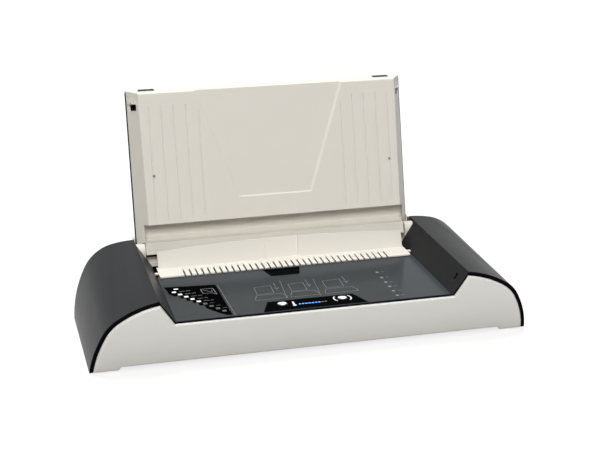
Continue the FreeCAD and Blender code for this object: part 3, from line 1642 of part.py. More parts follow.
def make_inlet_blades():
    """three flat blades that stand on the socket's floor"""
    blades = []
    cup_floor_y = rear_y + inlet_bezel_thickness - inlet_cup_depth
    pitch, rise = inlet_blade_pitch, inlet_blade_rise
    for x, z in ((-pitch, -rise), (0, rise), (pitch, -rise)):
        blades.append(box(inlet_x + x - inlet_blade_half_thickness, inlet_x + x + inlet_blade_half_thickness,
                          cup_floor_y, cup_floor_y + inlet_blade_length,
                          inlet_z + z - inlet_blade_half_height, inlet_z + z + inlet_blade_half_height))
    return group(blades)


def make_switch_body():
    gap = fit_gap
    face_y = rear_y + switch_bezel_thickness
    left, right = switch_x - switch_half_width, switch_x + switch_half_width
    low, high = switch_z - switch_half_height, switch_z + switch_half_height
    rim, wall = switch_bezel, switch_wall
    bezel = box(left - rim, right + rim, rear_y, face_y, low - rim, high + rim)
    body = box(left + gap, right - gap, rear_y - switch_depth, rear_y, low + gap, high - gap)
    well_floor_y = face_y - switch_depth / 2
    well = box(left + wall, right - wall, well_floor_y, face_y + overrun, low + wall, high - wall)
    pivot_y = face_y - rocker_pivot_depth
    pin = cylinder(rocker_pin_radius, Vector(left + gap, pivot_y, switch_z),
                   Vector(right - gap, pivot_y, switch_z))
    return fused([fused([bezel, body]).cut(well), pin])


def make_rocker_cap():
    """rocker that rests tilted one way, drawn level and then turned about its pin"""
    face_y = rear_y + switch_bezel_thickness
    pivot = Vector(switch_x, face_y - rocker_pivot_depth, switch_z)
    top = face_y + rocker_peak
    low, high = switch_z - rocker_half_height, switch_z + rocker_half_height
    outline = [(face_y - rocker_thickness, low), (top, low), (top - rocker_peak, switch_z), (top, high),
               (face_y - rocker_thickness, high)]
    cap = prism_along_x(outline, switch_x - rocker_half_width, switch_x + rocker_half_width)
    reach = Vector(rocker_half_width, 0, 0)
    hub = cylinder(rocker_pin_radius * 2, pivot - reach, pivot + reach)
    cap = fused([cap, hub])
    cap = cap.cut(cylinder(rocker_pin_radius + pivot_clearance, pivot - 2 * reach, pivot + 2 * reach))
    cap.rotate(pivot, Vector(1, 0, 0), -rocker_tilt)
    return cap


# Power board in the right arch

def power_posts():
    inset = 2 * power_post_radius
    xs = (power_board_x + inset, power_board_x + power_board_width - inset)
    ys = (power_board_y + inset, power_board_y + power_board_length - inset)
    return [(x, y) for x in xs for y in ys]


def power_top_z():
    return power_board_z + board_thickness


def make_power_board():
    return box(power_board_x, power_board_x + power_board_width, power_board_y,
               power_board_y + power_board_length, power_board_z, power_top_z())


def make_transformer():
    x0, half = power_board_x + power_post_radius, transformer_size / 2
    base = power_top_z()
    core = box(x0, x0 + transformer_size, transformer_y - half, transformer_y + half,
               base, base + transformer_core_height)
    coil = box(x0 + transformer_coil_inset, x0 + transformer_size - transformer_coil_inset,
               transformer_y - transformer_coil_half, transformer_y + transformer_coil_half,
               base + transformer_core_height / 2, base + transformer_height)
    return fused([core, coil])


def make_relay():
    x0 = power_board_x + power_post_radius
    return box(x0, x0 + relay_width, relay_y - relay_length / 2,
               relay_y + relay_length / 2 - power_post_radius, power_top_z(), power_top_z() + relay_height)


def make_capacitor():
    foot = Vector(power_board_x + power_board_width / 2, capacitor_y, power_top_z())
    return cylinder(capacitor_radius, foot, foot + Vector(0, 0, capacitor_height))


def make_heat_sink():
    x0 = power_board_x + power_post_radius + transformer_size + sink_side_gap
    width = (sink_fin_count - 1) * sink_fin_pitch + sink_fin
    low, rear = power_top_z(), sink_y + sink_length
    base = box(x0, x0 + width, sink_y, rear, low, low + sink_fin)
    fins = []
    for index in range(sink_fin_count):
        x = x0 + index * sink_fin_pitch
        fins.append(box(x, x + sink_fin, sink_y, rear, low, low + sink_height))
    return fused([base] + fins)


def build():
    right_shell = make_right_shell()
    left_key, right_key = [make_key(place) for place in key_places()]
    return {
        "front_fascia": make_front_fascia(),
        "front_frame": make_front_frame(),
        "right_arch_shell": right_shell,
        "left_arch_shell": mirrored(right_shell),
        "top_panel": make_top_panel(),
        "control_strip": make_control_strip(),
        "finger_cup": make_finger_cup(),
        "left_key": left_key,
        "right_key": right_key,
        "status_lenses": make_lenses(),
        "control_board": make_control_board(),
        "board_screws": make_board_screws(),
        "key_switches": make_key_switches(),
        "lamp_strip": make_lamp_strip(),
        "buzzer": make_buzzer(),
        "controller_chip": make_controller_chip(),
        "document_guide": make_document_guide(),
        "guide_screws": make_guide_screws(),
        "heater_plate": make_heater_plate(),
        "heater_element": make_heater_element(),
        "insulation_pad": make_insulation_pad(),
        "heater_carrier": make_heater_carrier(),
        "thermostat": make_thermostat(),
        "thermal_fuse": make_thermal_fuse(),
        "temperature_probe": make_temperature_probe(),
        "sensor_lever": make_sensor_lever(),
        "lever_pin": make_lever_pin(),
        "sensor_switch": make_sensor_switch(),
        "rear_housing": make_rear_housing(),
        "hinge_pins": make_hinge_pins(),
        "lid_outer_skin": make_lid_outer_skin(),
        "lid_inner_panel": make_lid_inner_panel(),
        "lid_catches": make_lid_catches(),
        "lid_buffers": make_lid_buffers(),
        "lid_screws": make_lid_screws(),
        "base_tray": make_base_tray(),
        "rubber_feet": make_rubber_feet(),
        "case_screws": make_case_screws(),
        "rear_cover": make_rear_cover(),
        "mains_inlet": make_mains_inlet(),
        "inlet_blades": make_inlet_blades(),
        "switch_body": make_switch_body(),
        "rocker_cap": make_rocker_cap(),
        "power_board": make_power_board(),
        "transformer": make_transformer(),
        "relay": make_relay(),
        "capacitor": make_capacitor(),
        "heat_sink": make_heat_sink(),
    }


def middle_y(shapes):
    """middle of the open machine from front to rear, to a tenth of a millimetre"""
    bounds = [shape.optimalBoundingBox(False) for shape in shapes]
    front = min(bound.YMin for bound in bounds)
    rear = max(bound.YMax for bound in bounds)
    return round((front + rear) / 2, 1)


os.makedirs("parts", exist_ok=True)
pieces = build()
forward = Vector(0, -middle_y(pieces.values()), 0)
for name, shape in pieces.items():
    shape.translated(forward).exportStep("parts/" + name + ".step")
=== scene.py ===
import math

import bmesh
import bpy
from mathutils import Matrix, Vector


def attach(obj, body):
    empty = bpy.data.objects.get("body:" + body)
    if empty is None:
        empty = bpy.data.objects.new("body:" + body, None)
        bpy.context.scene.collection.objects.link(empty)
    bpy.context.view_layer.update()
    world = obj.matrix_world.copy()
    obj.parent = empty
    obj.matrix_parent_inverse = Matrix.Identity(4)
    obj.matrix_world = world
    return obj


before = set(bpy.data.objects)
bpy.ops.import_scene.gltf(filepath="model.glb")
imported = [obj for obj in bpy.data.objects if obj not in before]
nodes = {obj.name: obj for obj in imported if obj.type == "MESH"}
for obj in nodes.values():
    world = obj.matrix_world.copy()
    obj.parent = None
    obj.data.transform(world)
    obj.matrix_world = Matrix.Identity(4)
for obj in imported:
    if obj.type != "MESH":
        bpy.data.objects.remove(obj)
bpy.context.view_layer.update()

mm = 0.001

# Front fascia
# A long bowed moulding in pearl grey ABS that closes the front of the case, with
# two arched ends and a notch for the deck. It clips over the black front frame.


def shader_group(name, inputs, outputs):
    """A node group with named value inputs and value or vector outputs."""
    kinds = {"value": "NodeSocketFloat", "vector": "NodeSocketVector"}
    group = bpy.data.node_groups.new(name, "ShaderNodeTree")
    for label, default in inputs:
        socket = group.interface.new_socket(label, in_out="INPUT", socket_type=kinds["value"])
        socket.default_value = default
    for label, kind in outputs:
        group.interface.new_socket(label, in_out="OUTPUT", socket_type=kinds[kind])
    return group, group.nodes.new("NodeGroupInput"), group.nodes.new("NodeGroupOutput")


def maths(tree, operation, *values):
    """A Math node fed with sockets or numbers; returns its result socket."""
    node = tree.nodes.new("ShaderNodeMath")
    node.operation = operation
    for slot, value in zip(node.inputs, values):
        if isinstance(value, (int, float)):
            slot.default_value = value
        else:
            tree.links.new(value, slot)
    return node.outputs[0]


def varied(tree, base, socket, share):
    """A base value plus a share of a varying socket."""
    return maths(tree, "ADD", base, maths(tree, "MULTIPLY", socket, share))


def own_place(tree):
    """The place of each point in the piece's own frame, so a pattern moves with it."""
    return tree.nodes.new("ShaderNodeTexCoord").outputs["Object"]


def noise(tree, place, scale, detail, rough=0.5):
    """A Noise texture at a place in the piece; returns its value socket."""
    node = tree.nodes.new("ShaderNodeTexNoise")
    node.inputs["Detail"].default_value = detail
    node.inputs["Roughness"].default_value = rough
    tree.links.new(place, node.inputs["Vector"])
    if isinstance(scale, (int, float)):
        node.inputs["Scale"].default_value = scale
    else:
        tree.links.new(scale, node.inputs["Scale"])
    return node.outputs["Fac"]


# the grain of a spark eroded mould, with a slow drift of tone and sheen over it
pit_share = 0.6
middle_noise = 0.5
grain_group, grain_in, grain_out = shader_group(
    "moulded_grain",
    [("Cell Size", 0.0006), ("Drift Size", 0.05)],
    [("Height", "value"), ("Tone", "value"), ("Drift", "value")])
place = own_place(grain_group)
cell_scale = maths(grain_group, "DIVIDE", 1.0, grain_in.outputs["Cell Size"])
drift_scale = maths(grain_group, "DIVIDE", 1.0, grain_in.outputs["Drift Size"])
pits = grain_group.nodes.new("ShaderNodeTexVoronoi")
pits.feature = "SMOOTH_F1"
grain_group.links.new(place, pits.inputs["Vector"])
grain_group.links.new(cell_scale, pits.inputs["Scale"])
fine = noise(grain_group, place, cell_scale, detail=2.0, rough=0.6)
drift = noise(grain_group, place, drift_scale, detail=4.0, rough=0.55)
grain_group.links.new(varied(grain_group, fine, pits.outputs["Distance"], pit_share),
                      grain_out.inputs["Height"])
for pattern, label in ((fine, "Tone"), (drift, "Drift")):
    centred = maths(grain_group, "SUBTRACT", pattern, middle_noise)
    grain_group.links.new(centred, grain_out.inputs[label])

# edges are rounded in the light and painted paler in patches, partly as scuffs and partly as a
# painted highlight
edge_gain = 6.0
scuff_scale = 180.0
scuff_gain = 1.6
edge_samples = 6
edge_group, edge_in, edge_out = shader_group(
    "rounded_edge",
    [("Radius", 0.0006), ("Wear", 0.5)],
    [("Edge", "value"), ("Normal", "vector")])
soft_edge = edge_group.nodes.new("ShaderNodeBevel")
soft_edge.samples = edge_samples
edge_group.links.new(edge_in.outputs["Radius"], soft_edge.inputs["Radius"])
surface = edge_group.nodes.new("ShaderNodeNewGeometry")
facing = edge_group.nodes.new("ShaderNodeVectorMath")
facing.operation = "DOT_PRODUCT"
edge_group.links.new(soft_edge.outputs["Normal"], facing.inputs[0])
edge_group.links.new(surface.outputs["Normal"], facing.inputs[1])
away = maths(edge_group, "SUBTRACT", 1.0, facing.outputs["Value"])
turned = maths(edge_group, "MULTIPLY", away, edge_gain)
scuffed = noise(edge_group, own_place(edge_group), scuff_scale, detail=3.0)
patchy_edge = maths(edge_group, "MULTIPLY", turned, maths(edge_group, "MULTIPLY", scuffed, scuff_gain))
worn_and_highlit = maths(edge_group, "MULTIPLY", patchy_edge, edge_in.outputs["Wear"])
limited = edge_group.nodes.new("ShaderNodeClamp")
edge_group.links.new(worn_and_highlit, limited.inputs["Value"])
edge_group.links.new(limited.outputs["Result"], edge_out.inputs["Edge"])
edge_group.links.new(soft_edge.outputs["Normal"], edge_out.inputs["Normal"])


def placed_group(tree, group, **values):
    """One of the node groups placed in a material, with its own values."""
    node = tree.nodes.new("ShaderNodeGroup")
    node.node_tree = group
    for label, value in values.items():
        node.inputs[label.replace("_", " ")].default_value = value
    return node


def mixed(tree, factor, first, second):
    """A colour mix of two sockets or plain colours by a factor socket."""
    node = tree.nodes.new("ShaderNodeMix")
    node.data_type = "RGBA"
    tree.links.new(factor, node.inputs["Factor"])
    for slot, value in ((node.inputs["A"], first), (node.inputs["B"], second)):
        if isinstance(value, tuple):
            slot.default_value = (*value, 1.0)
        else:
            tree.links.new(value, slot)
    return node.outputs["Result"]


def new_material(name):
    """A material, its node tree and its Principled shader."""
    material = bpy.data.materials.new(name)
    material.use_nodes = True
    return material, material.node_tree, material.node_tree.nodes["Principled BSDF"]


def scaled_colour(tree, colour, scale):
    """A plain colour made lighter or darker by a socket."""
    node = tree.nodes.new("ShaderNodeVectorMath")
    node.operation = "SCALE"
    node.inputs[0].default_value = colour
    tree.links.new(scale, node.inputs["Scale"])
    return node.outputs["Vector"]


def add_relief(tree, skin, height, depth, normal=None, strength=1.0):
    """A bump of a depth in metres on the shader, over a softened normal where one is given."""
    bump = tree.nodes.new("ShaderNodeBump")
    bump.inputs["Strength"].default_value = strength
    bump.inputs["Distance"].default_value = depth
    tree.links.new(height, bump.inputs["Height"])
    if normal is not None:
        tree.links.new(normal, bump.inputs["Normal"])
    tree.links.new(bump.outputs["Normal"], skin.inputs["Normal"])


def moulded(name, colour, edge_colour, roughness, cell=0.0006, depth=0.00004,
            radius=0.0006, wear_and_highlight=0.5, tone=0.06, spread=0.12, gloss=0.5):
    """A moulded plastic: grain in tone and bump, uneven sheen, edges painted paler as scuffs and a
    painted highlight.
    """
    material, tree, skin = new_material(name)
    skin.inputs["Specular IOR Level"].default_value = gloss
    grain = placed_group(tree, grain_group, Cell_Size=cell)
    edge = placed_group(tree, edge_group, Radius=radius, Wear=wear_and_highlight)
    shade = varied(tree, 1.0, grain.outputs["Tone"], tone)
    shade = varied(tree, shade, grain.outputs["Drift"], tone)
    body = scaled_colour(tree, colour, shade)
    sheen = varied(tree, roughness, grain.outputs["Drift"], spread)
    # the edge mask mixes in the paler edge colour: scuffs plus a painted highlight along the rims
    tree.links.new(mixed(tree, edge.outputs["Edge"], body, edge_colour), skin.inputs["Base Color"])
    tree.links.new(sheen, skin.inputs["Roughness"])
    add_relief(tree, skin, grain.outputs["Height"], depth, edge.outputs["Normal"])
    return material


def finish_node(node, material):
    """Gives a CAD node its material."""
    mesh = nodes[node].data
    mesh.materials.clear()
    mesh.materials.append(material)


# the fascia's rims take the near-white edge colour at full strength: a painted highlight along the
# arch and the notch
pearl = moulded("pearl_abs", (0.86, 0.838, 0.783), (0.99, 0.98, 0.955), 0.34,
                cell=0.0009, depth=0.00002, radius=0.0030, wear_and_highlight=1.0, tone=0.03, spread=0.08)
finish_node("front_fascia", pearl)

# Front frame
# A black carrier moulding that the fascia clips onto. Only its lip shows, as a dark line
# between the fascia's arched edge and the shells, where its near black is partly painted shade for
# the gap.
black_trim = moulded("black_trim_abs", (0.005, 0.005, 0.006), (0.03, 0.03, 0.032), 0.5,
                     cell=0.0005, wear_and_highlight=0.15, gloss=0.0)
finish_node("front_frame", black_trim)

# Arch shells and rear cover
# The left and right housings are satin charcoal mouldings, curved over the ends of
# the case and screwed to the tray from below. The cover closes the rear between them.
charcoal = moulded("charcoal_abs", (0.020, 0.0205, 0.022), (0.08, 0.08, 0.085), 0.34,
                   cell=0.0007, depth=0.00003, radius=0.0010, wear_and_highlight=0.30, tone=0.12,
                   spread=0.10, gloss=0.04)
for shell in ("left_arch_shell", "right_arch_shell", "rear_cover"):
    finish_node(shell, charcoal)

# Top panel and its printing
# The deck is a dark, back-sprayed gloss panel snapped between the shells. A stepped
# thickness chart, fine rules and faint pictograms are screen printed on it.
deck_slope = math.radians(3.3)
deck_front = Vector((0, -120.4 * mm, 57.4 * mm))
deck_back = Vector((0, math.cos(deck_slope), math.sin(deck_slope)))
deck_up = Vector((0, -math.sin(deck_slope), math.cos(deck_slope)))
ink_lift = 0.04


def on_deck(x, s, lift):
    """A point x across and s back on the deck, in millimetres, lifted off its face."""
    return deck_front + Vector((x * mm, 0, 0)) + deck_back * (s * mm) + deck_up * (lift * mm)


def glossy(name, colour, roughness, gloss=0.5):
    """A polished plastic with faint wiping marks in its sheen and edges painted paler, partly
    scuffs and partly a painted highlight.
    """
    wipe_tone, wipe_sheen = 0.10, 0.05
    pale_gain, pale_lift = 1.6, 0.02
    material, tree, skin = new_material(name)
    skin.inputs["Specular IOR Level"].default_value = gloss
    wipes = placed_group(tree, grain_group, Cell_Size=0.004, Drift_Size=0.03).outputs["Drift"]
    edge = placed_group(tree, edge_group, Radius=0.0004, Wear=0.2)
    body = scaled_colour(tree, colour, varied(tree, 1.0, wipes, wipe_tone))
    # the pale edge colour is partly a painted highlight, mixed in along the edges with scuffs
    pale = tuple(min(1.0, channel * pale_gain + pale_lift) for channel in colour)
    tree.links.new(mixed(tree, edge.outputs["Edge"], body, pale), skin.inputs["Base Color"])
    tree.links.new(varied(tree, roughness, wipes, wipe_sheen), skin.inputs["Roughness"])
    tree.links.new(edge.outputs["Normal"], skin.inputs["Normal"])
    return material


panel_gloss = glossy("sprayed_gloss_panel", (0.040, 0.047, 0.052), 0.12, gloss=0.05)
finish_node("top_panel", panel_gloss)

black_ink = glossy("black_ink", (0.002, 0.002, 0.002), 0.16, gloss=0.0)
white_ink = moulded("white_ink", (0.86, 0.87, 0.88), (0.9, 0.9, 0.9), 0.35, cell=0.0003, wear_and_highlight=0.0)
grey_ink = moulded("grey_ink", (0.17, 0.18, 0.19), (0.2, 0.2, 0.2), 0.35, cell=0.0003, wear_and_highlight=0.0)
dim_ink = moulded("dim_ink", (0.07, 0.075, 0.08), (0.1, 0.1, 0.1), 0.35, cell=0.0003, wear_and_highlight=0.0)


def printed(name, outlines, lift, material, body="case"):
    """Flat inked shapes on the deck, each a closed outline of (x, s) points."""
    mesh = bpy.data.meshes.new(name)
    shape = bmesh.new()
    for outline in outlines:
        shape.faces.new([shape.verts.new(on_deck(x, s, lift)) for x, s in outline])
    bmesh.ops.triangulate(shape, faces=shape.faces[:])
    for face in shape.faces:
        if face.normal.z < 0:
            face.normal_flip()
    shape.to_mesh(mesh)
    shape.free()
    piece = bpy.data.objects.new(name, mesh)
    bpy.context.scene.collection.objects.link(piece)
    mesh.materials.append(material)
    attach(piece, body)


def rule(x0, s0, x1, s1, width):
    """The outline of a thin ruled line between two points on the deck."""
    along = Vector((x1 - x0, s1 - s0)).normalized() * (width / 2)
    across = Vector((-along.y, along.x))
    return [(x0 - across.x, s0 - across.y), (x1 - across.x, s1 - across.y),
            (x1 + across.x, s1 + across.y), (x0 + across.x, s0 + across.y)]


def ruled_path(points, width, closed=False):
    """Ruled lines along a row of points."""
    ends = points[1:] + points[:1] if closed else points[1:]
    return [rule(*a, *b, width) for a, b in zip(points, ends)]


def rounded_box(x, s, half_x, half_s, corner):
    """The outline of a box with rounded corners on the deck."""
    corner_steps = 4
    outline = []
    for quarter, (sx, sy) in enumerate(((1, 1), (-1, 1), (-1, -1), (1, -1))):
        for step in range(corner_steps + 1):
            angle = math.pi / 2 * (quarter + step / corner_steps)
            outline.append((x + sx * (half_x - corner) + corner * math.cos(angle),
                            s + sy * (half_s - corner) + corner * math.sin(angle)))
    return outline


# the black field of the chart, whose left edge goes down in stairs
step_rows, bright_rows = 9, 5
step_down, step_across = 9.25, 5.9
first_label = (-152.8, 92.0)
tab = 7.2
chart_left_top, chart_left_foot = (-162.4, 111.0), (-105.4, 4.4)
chart_right_top, chart_right_foot = (-100.3, 104.4), (-98.8, 2.6)
stairs = []
for row in range(step_rows):
    x = first_label[0] + step_across * row - tab
    s = first_label[1] - step_down * row
    stairs += [(x, s + step_down / 2), (x, s - step_down / 2)]
chart = [chart_left_top, *stairs, chart_left_foot, chart_right_foot, chart_right_top]
printed("chart_field", [chart], ink_lift, black_ink)

# a blank label on each stair, with two short rules for its words on the bright ones
label_half, label_corner = 2.5, 0.8
note_rise, note_width, dim_note_width = 0.4, 0.9, 0.8
first_note, second_note, dim_note = (6.0, 13.0), (14.4, 19.6), (5.5, 11.0)
note_shrink = 0.4
heading_place, heading_half = (-149.0, 101.6), (2.8, 1.7)
labels, dim_labels, notes = [], [], []
for row in range(step_rows):
    x = first_label[0] + step_across * row
    s = first_label[1] - step_down * row
    note_s = s + note_rise
    box = rounded_box(x, s, label_half, label_half, label_corner)
    if row < bright_rows:
        labels.append(box)
        second_end = x + second_note[1] - row * note_shrink
        notes += [rule(x + first_note[0], note_s, x + first_note[1], note_s, note_width),
                  rule(x + second_note[0], note_s, second_end, note_s, note_width)]
    else:
        dim_labels.append(box)
        dim_labels.append(rule(x + dim_note[0], note_s, x + dim_note[1], note_s, dim_note_width))
labels.append(rounded_box(*heading_place, *heading_half, label_corner))
printed("chart_labels", labels, 2 * ink_lift, white_ink)
printed("chart_dim_labels", dim_labels, 2 * ink_lift, dim_ink)
sheet_edge = [(-120.5, 93.5), (-105.6, 93.0), (-104.2, 72.5), (-109.0, 78.0), (-119.6, 78.5)]
sheet_fold = [(-117.8, 90.0), (-108.6, 80.6), (-107.4, 88.6)]
edge_width, fold_width = 0.8, 0.7
notes += ruled_path(sheet_edge, edge_width, closed=True) + ruled_path(sheet_fold, fold_width)
printed("chart_notes", notes, 2 * ink_lift, grey_ink)

# one rule parts the chart from the rest of the deck
parting_rule = rule(-98.0, 103.4, -95.9, 1.6, width=0.5)
printed("field_rules", [parting_rule], ink_lift, grey_ink)

# three steps of use, each a plain drawing of the machine's outline with a sheet and an
# arrow; x is a share of the drawing's width and s a place on the deck
drawings = ((-63.5, -25.0), (-20.5, 14.5), (21.5, 62.0))
case_shares = ((0, 44), (0.1, 55), (0.9, 55), (1, 44), (1, 40), (0, 40))
sheet_shares = ((0.14, 58), (0.16, 82), (0.70, 84), (0.68, 59))
arrow_shares = ((0.84, 92), (0.84, 70))
head_shares = ((0.76, 76), (0.84, 69), (0.92, 76))
drawn_width, dividing_width = 0.55, 0.4
pictograms = []
for left, right in drawings:
    for shares, closed in ((case_shares, True), (sheet_shares, True),
                           (arrow_shares, False), (head_shares, False)):
        points = [(left + share * (right - left), s) for share, s in shares]
        pictograms += ruled_path(points, drawn_width, closed)
pictograms += [rule(-21.6, 97.0, -26.6, 38.0, dividing_width),
               rule(19.4, 92.0, 14.2, 36.0, dividing_width)]
printed("pictograms", pictograms, ink_lift, grey_ink)

mark_x, mark_half, mark_corner = 102.0, (1.8, 2.2), 0.9
mark_rule, mark_rule_width = (106.5, 111.0), 0.6
side_marks = []
for s in (94.0, 74.7, 58.2, 43.0, 27.6, 12.4):
    side_marks.append(rounded_box(mark_x, s, *mark_half, mark_corner))
    side_marks.append(rule(mark_rule[0], s, mark_rule[1], s, mark_rule_width))
printed("side_marks", side_marks, ink_lift, grey_ink)

# Control strip, keys and status lenses
# A gloss black overlay on the front of the deck carries two sprung keys with white
# symbols, a thermometer symbol and nine slots for the row of lamp lenses.
strip_gloss = glossy("gloss_black_overlay", (0.003, 0.003, 0.0035), 0.07, gloss=0.0)
finish_node("control_strip", strip_gloss)
key_gloss = glossy("key_gloss", (0.006, 0.006, 0.007), 0.14, gloss=0.30)
for key in ("left_key", "right_key"):
    finish_node(key, key_gloss)

strip_thick, key_proud = 0.15, 0.6
strip_ink = strip_thick + ink_lift
key_ink = strip_thick + key_proud + ink_lift
key_x, key_s = 36.4, 20.6


def key_symbol(x, s):
    """A solid mark, flat at the back and pointed towards the user."""
    points = [(-3.1, 4.6), (3.1, 4.6), (4.6, 3.4), (5.2, 0.6), (3.9, -2.2), (1.2, -4.9),
              (-1.2, -4.9), (-3.9, -2.2), (-5.2, 0.6), (-4.6, 3.4)]
    return [(x + dx, s + ds) for dx, ds in points]


def arc_band(x, s, radius, width, start, end, steps=12):
    """The outline of a curved band around a point on the deck."""
    turns = [math.radians(start + (end - start) * k / steps) for k in range(steps + 1)]
    reach = radius + width
    outer = [(x + reach * math.cos(t), s + reach * math.sin(t)) for t in turns]
    inner = [(x + radius * math.cos(t), s + radius * math.sin(t)) for t in reversed(turns)]
    return outer + inner


for key, x in (("left_key", -key_x), ("right_key", key_x)):
    symbol = [key_symbol(x, key_s)]
    printed(key + "_symbol", symbol, key_ink, white_ink, key)
bracket_radius, bracket_width, bracket_turn = 9.6, 1.5, 42
strip_symbols = [
    arc_band(key_x, key_s, bracket_radius, bracket_width, -bracket_turn, bracket_turn),
    arc_band(key_x, key_s, bracket_radius, bracket_width, 180 - bracket_turn, 180 + bracket_turn)]
bulb_x, bulb_s = -23.2, 13.4
bulb_hole, bulb_width, bulb_steps = 0.01, 2.3, 18
stem_rise, stem_half, stem_corner = 5.6, (1.1, 6.0), 1.0
strip_symbols.append(arc_band(bulb_x, bulb_s, bulb_hole, bulb_width, 0, 360, bulb_steps))
strip_symbols.append(rounded_box(bulb_x, bulb_s + stem_rise, *stem_half, stem_corner))
printed("strip_symbols", strip_symbols, strip_ink, white_ink)

# the first seven lenses are lit blue, the last two are dark
last_lit = 0.0089
lit_body, dark_body = (0.10, 0.35, 0.75), (0.16, 0.19, 0.22)
lit_glow, dark_glow, glow_level = (0.06, 0.36, 0.95), (0.0, 0.0, 0.0), 0.9
lens_blue, tree, skin = new_material("blue_lens")
skin.inputs["Roughness"].default_value = 0.18
skin.inputs["Emission Strength"].default_value = 1.0
split = tree.nodes.new("ShaderNodeSeparateXYZ")
tree.links.new(own_place(tree), split.inputs["Vector"])
lit = maths(tree, "LESS_THAN", split.outputs["X"], last_lit)
glow = placed_group(tree, grain_group, Cell_Size=0.0012)
lit_level = maths(tree, "MULTIPLY", lit, maths(tree, "ADD", glow_level, glow.outputs["Tone"]))
tree.links.new(mixed(tree, lit, dark_body, lit_body), skin.inputs["Base Color"])
tree.links.new(mixed(tree, lit_level, dark_glow, lit_glow), skin.inputs["Emission Color"])
finish_node("status_lenses", lens_blue)

# Finger cup
# A shallow black well let into the back of the deck, where a fingertip lifts the
# closed lid. It is moulded in ABS with a fine matt texture.
cup_black = moulded("cup_black_abs", (0.004, 0.005, 0.0045), (0.020, 0.021, 0.021), 0.38,
                    wear_and_highlight=0.2, gloss=0.0)
finish_node("finger_cup", cup_black)

# Document guide
# A white comb plate that lies on the back of the deck and turns up into a leaning
# wall, with two zinc screws through its ears into the heater carrier.
warm_white = moulded("warm_white_abs", (0.76, 0.725, 0.655), (0.97, 0.96, 0.94), 0.38,
                     cell=0.0008, depth=0.00002, radius=0.0010, wear_and_highlight=0.6, tone=0.03, spread=0.08,
                     gloss=0.18)
finish_node("document_guide", warm_white)

# Rear housing
# The white moulding behind the slot. Its two raised lugs carry the hinge pins, and
# its end plates stand against the shells.
finish_node("rear_housing", warm_white)

# Lid, screws and pins
# A charcoal outer skin with a cream inner panel, screwed together at the corners,
# swings on two steel pins. Ribs, a shield and two pockets are moulded in the panel,
# with a white catch on each side wall and soft buffers near the free edge.
lid_cream = moulded("lid_cream_abs", (0.80, 0.765, 0.69), (0.95, 0.94, 0.91), 0.42,
                    cell=0.0009, depth=0.00003, radius=0.0012, wear_and_highlight=0.55, tone=0.04, spread=0.08,
                    gloss=0.18)
finish_node("lid_inner_panel", lid_cream)
finish_node("lid_outer_skin", charcoal)
finish_node("lid_catches", warm_white)
bumper_rubber = moulded("bumper_rubber", (0.25, 0.24, 0.23), (0.33, 0.32, 0.31), 0.75,
                        cell=0.0004, wear_and_highlight=0.3)
finish_node("lid_buffers", bumper_rubber)


def metal(name, colour, roughness, grain_stretch, scuff_and_highlight_colour):
    """A metal with fine drawn or ground lines and edges painted brighter, partly scuffs and partly
    a painted highlight.
    """
    darkest, line_tone = 0.85, 0.3
    smoother, line_sheen = 0.08, 0.16
    line_depth = 0.00002
    material, tree, skin = new_material(name)
    skin.inputs["Metallic"].default_value = 1.0
    stretch = tree.nodes.new("ShaderNodeMapping")
    stretch.inputs["Scale"].default_value = grain_stretch
    tree.links.new(own_place(tree), stretch.inputs["Vector"])
    lines = noise(tree, stretch.outputs["Vector"], 1.0, detail=4.0, rough=0.65)
    edge = placed_group(tree, edge_group, Radius=0.0003, Wear=0.8)
    body = scaled_colour(tree, colour, varied(tree, darkest, lines, line_tone))
    # the brighter edge colour is mixed in by the edge mask: scuffs plus a painted highlight
    tree.links.new(mixed(tree, edge.outputs["Edge"], body, scuff_and_highlight_colour), skin.inputs["Base Color"])
    tree.links.new(varied(tree, roughness - smoother, lines, line_sheen), skin.inputs["Roughness"])
    add_relief(tree, skin, lines, line_depth, edge.outputs["Normal"])
    return material


zinc = metal("zinc_plate", (0.62, 0.61, 0.56), 0.38, (900, 900, 900), (0.78, 0.77, 0.73))
ground_steel = metal("ground_steel", (0.56, 0.57, 0.58), 0.28, (80, 2600, 2600), (0.75, 0.76, 0.77))
for screws in ("lid_screws", "guide_screws", "board_screws", "case_screws"):
    finish_node(screws, zinc)
for pin in ("hinge_pins", "lever_pin", "temperature_probe"):
    finish_node(pin, ground_steel)

# Heater and document sensor
# Under the slot a ground aluminium plate is warmed by a silicone heater mat. A glass
# filled carrier holds both over an insulating board, with the safety parts clipped on
# and a sprung acetal lever that a sheet presses against its switch.
plate_metal = metal("ground_aluminium", (0.66, 0.67, 0.68), 0.34, (60, 2400, 2400),
                    (0.82, 0.83, 0.84))
for piece in ("heater_plate", "thermostat"):
    finish_node(piece, plate_metal)
carrier_resin = moulded("glass_filled_resin", (0.055, 0.052, 0.048), (0.11, 0.105, 0.10), 0.62,
                        cell=0.0004, depth=0.00006, tone=0.25, wear_and_highlight=0.4)
finish_node("heater_carrier", carrier_resin)


def woven(name, colour, groove_colour, pitch, roughness):
    """A sheet or sleeve with a crossed weave pressed or woven into it."""
    waves_per_pitch, thread_waver = 0.31, 0.4
    weave_depth, weave_strength = 0.00015, 0.8
    sheen_share = 0.2
    material, tree, skin = new_material(name)
    place = own_place(tree)
    threads = []
    for direction in ("X", "Y"):
        wave = tree.nodes.new("ShaderNodeTexWave")
        wave.bands_direction = direction
        wave.inputs["Scale"].default_value = waves_per_pitch / pitch
        wave.inputs["Distortion"].default_value = thread_waver
        tree.links.new(place, wave.inputs["Vector"])
        threads.append(wave.outputs["Fac"])
    weave = maths(tree, "MULTIPLY", *threads)
    tree.links.new(mixed(tree, weave, groove_colour, colour), skin.inputs["Base Color"])
    drift = placed_group(tree, grain_group, Cell_Size=0.002, Drift_Size=0.02).outputs["Drift"]
    tree.links.new(varied(tree, roughness, drift, sheen_share), skin.inputs["Roughness"])
    add_relief(tree, skin, weave, weave_depth, strength=weave_strength)
    return material


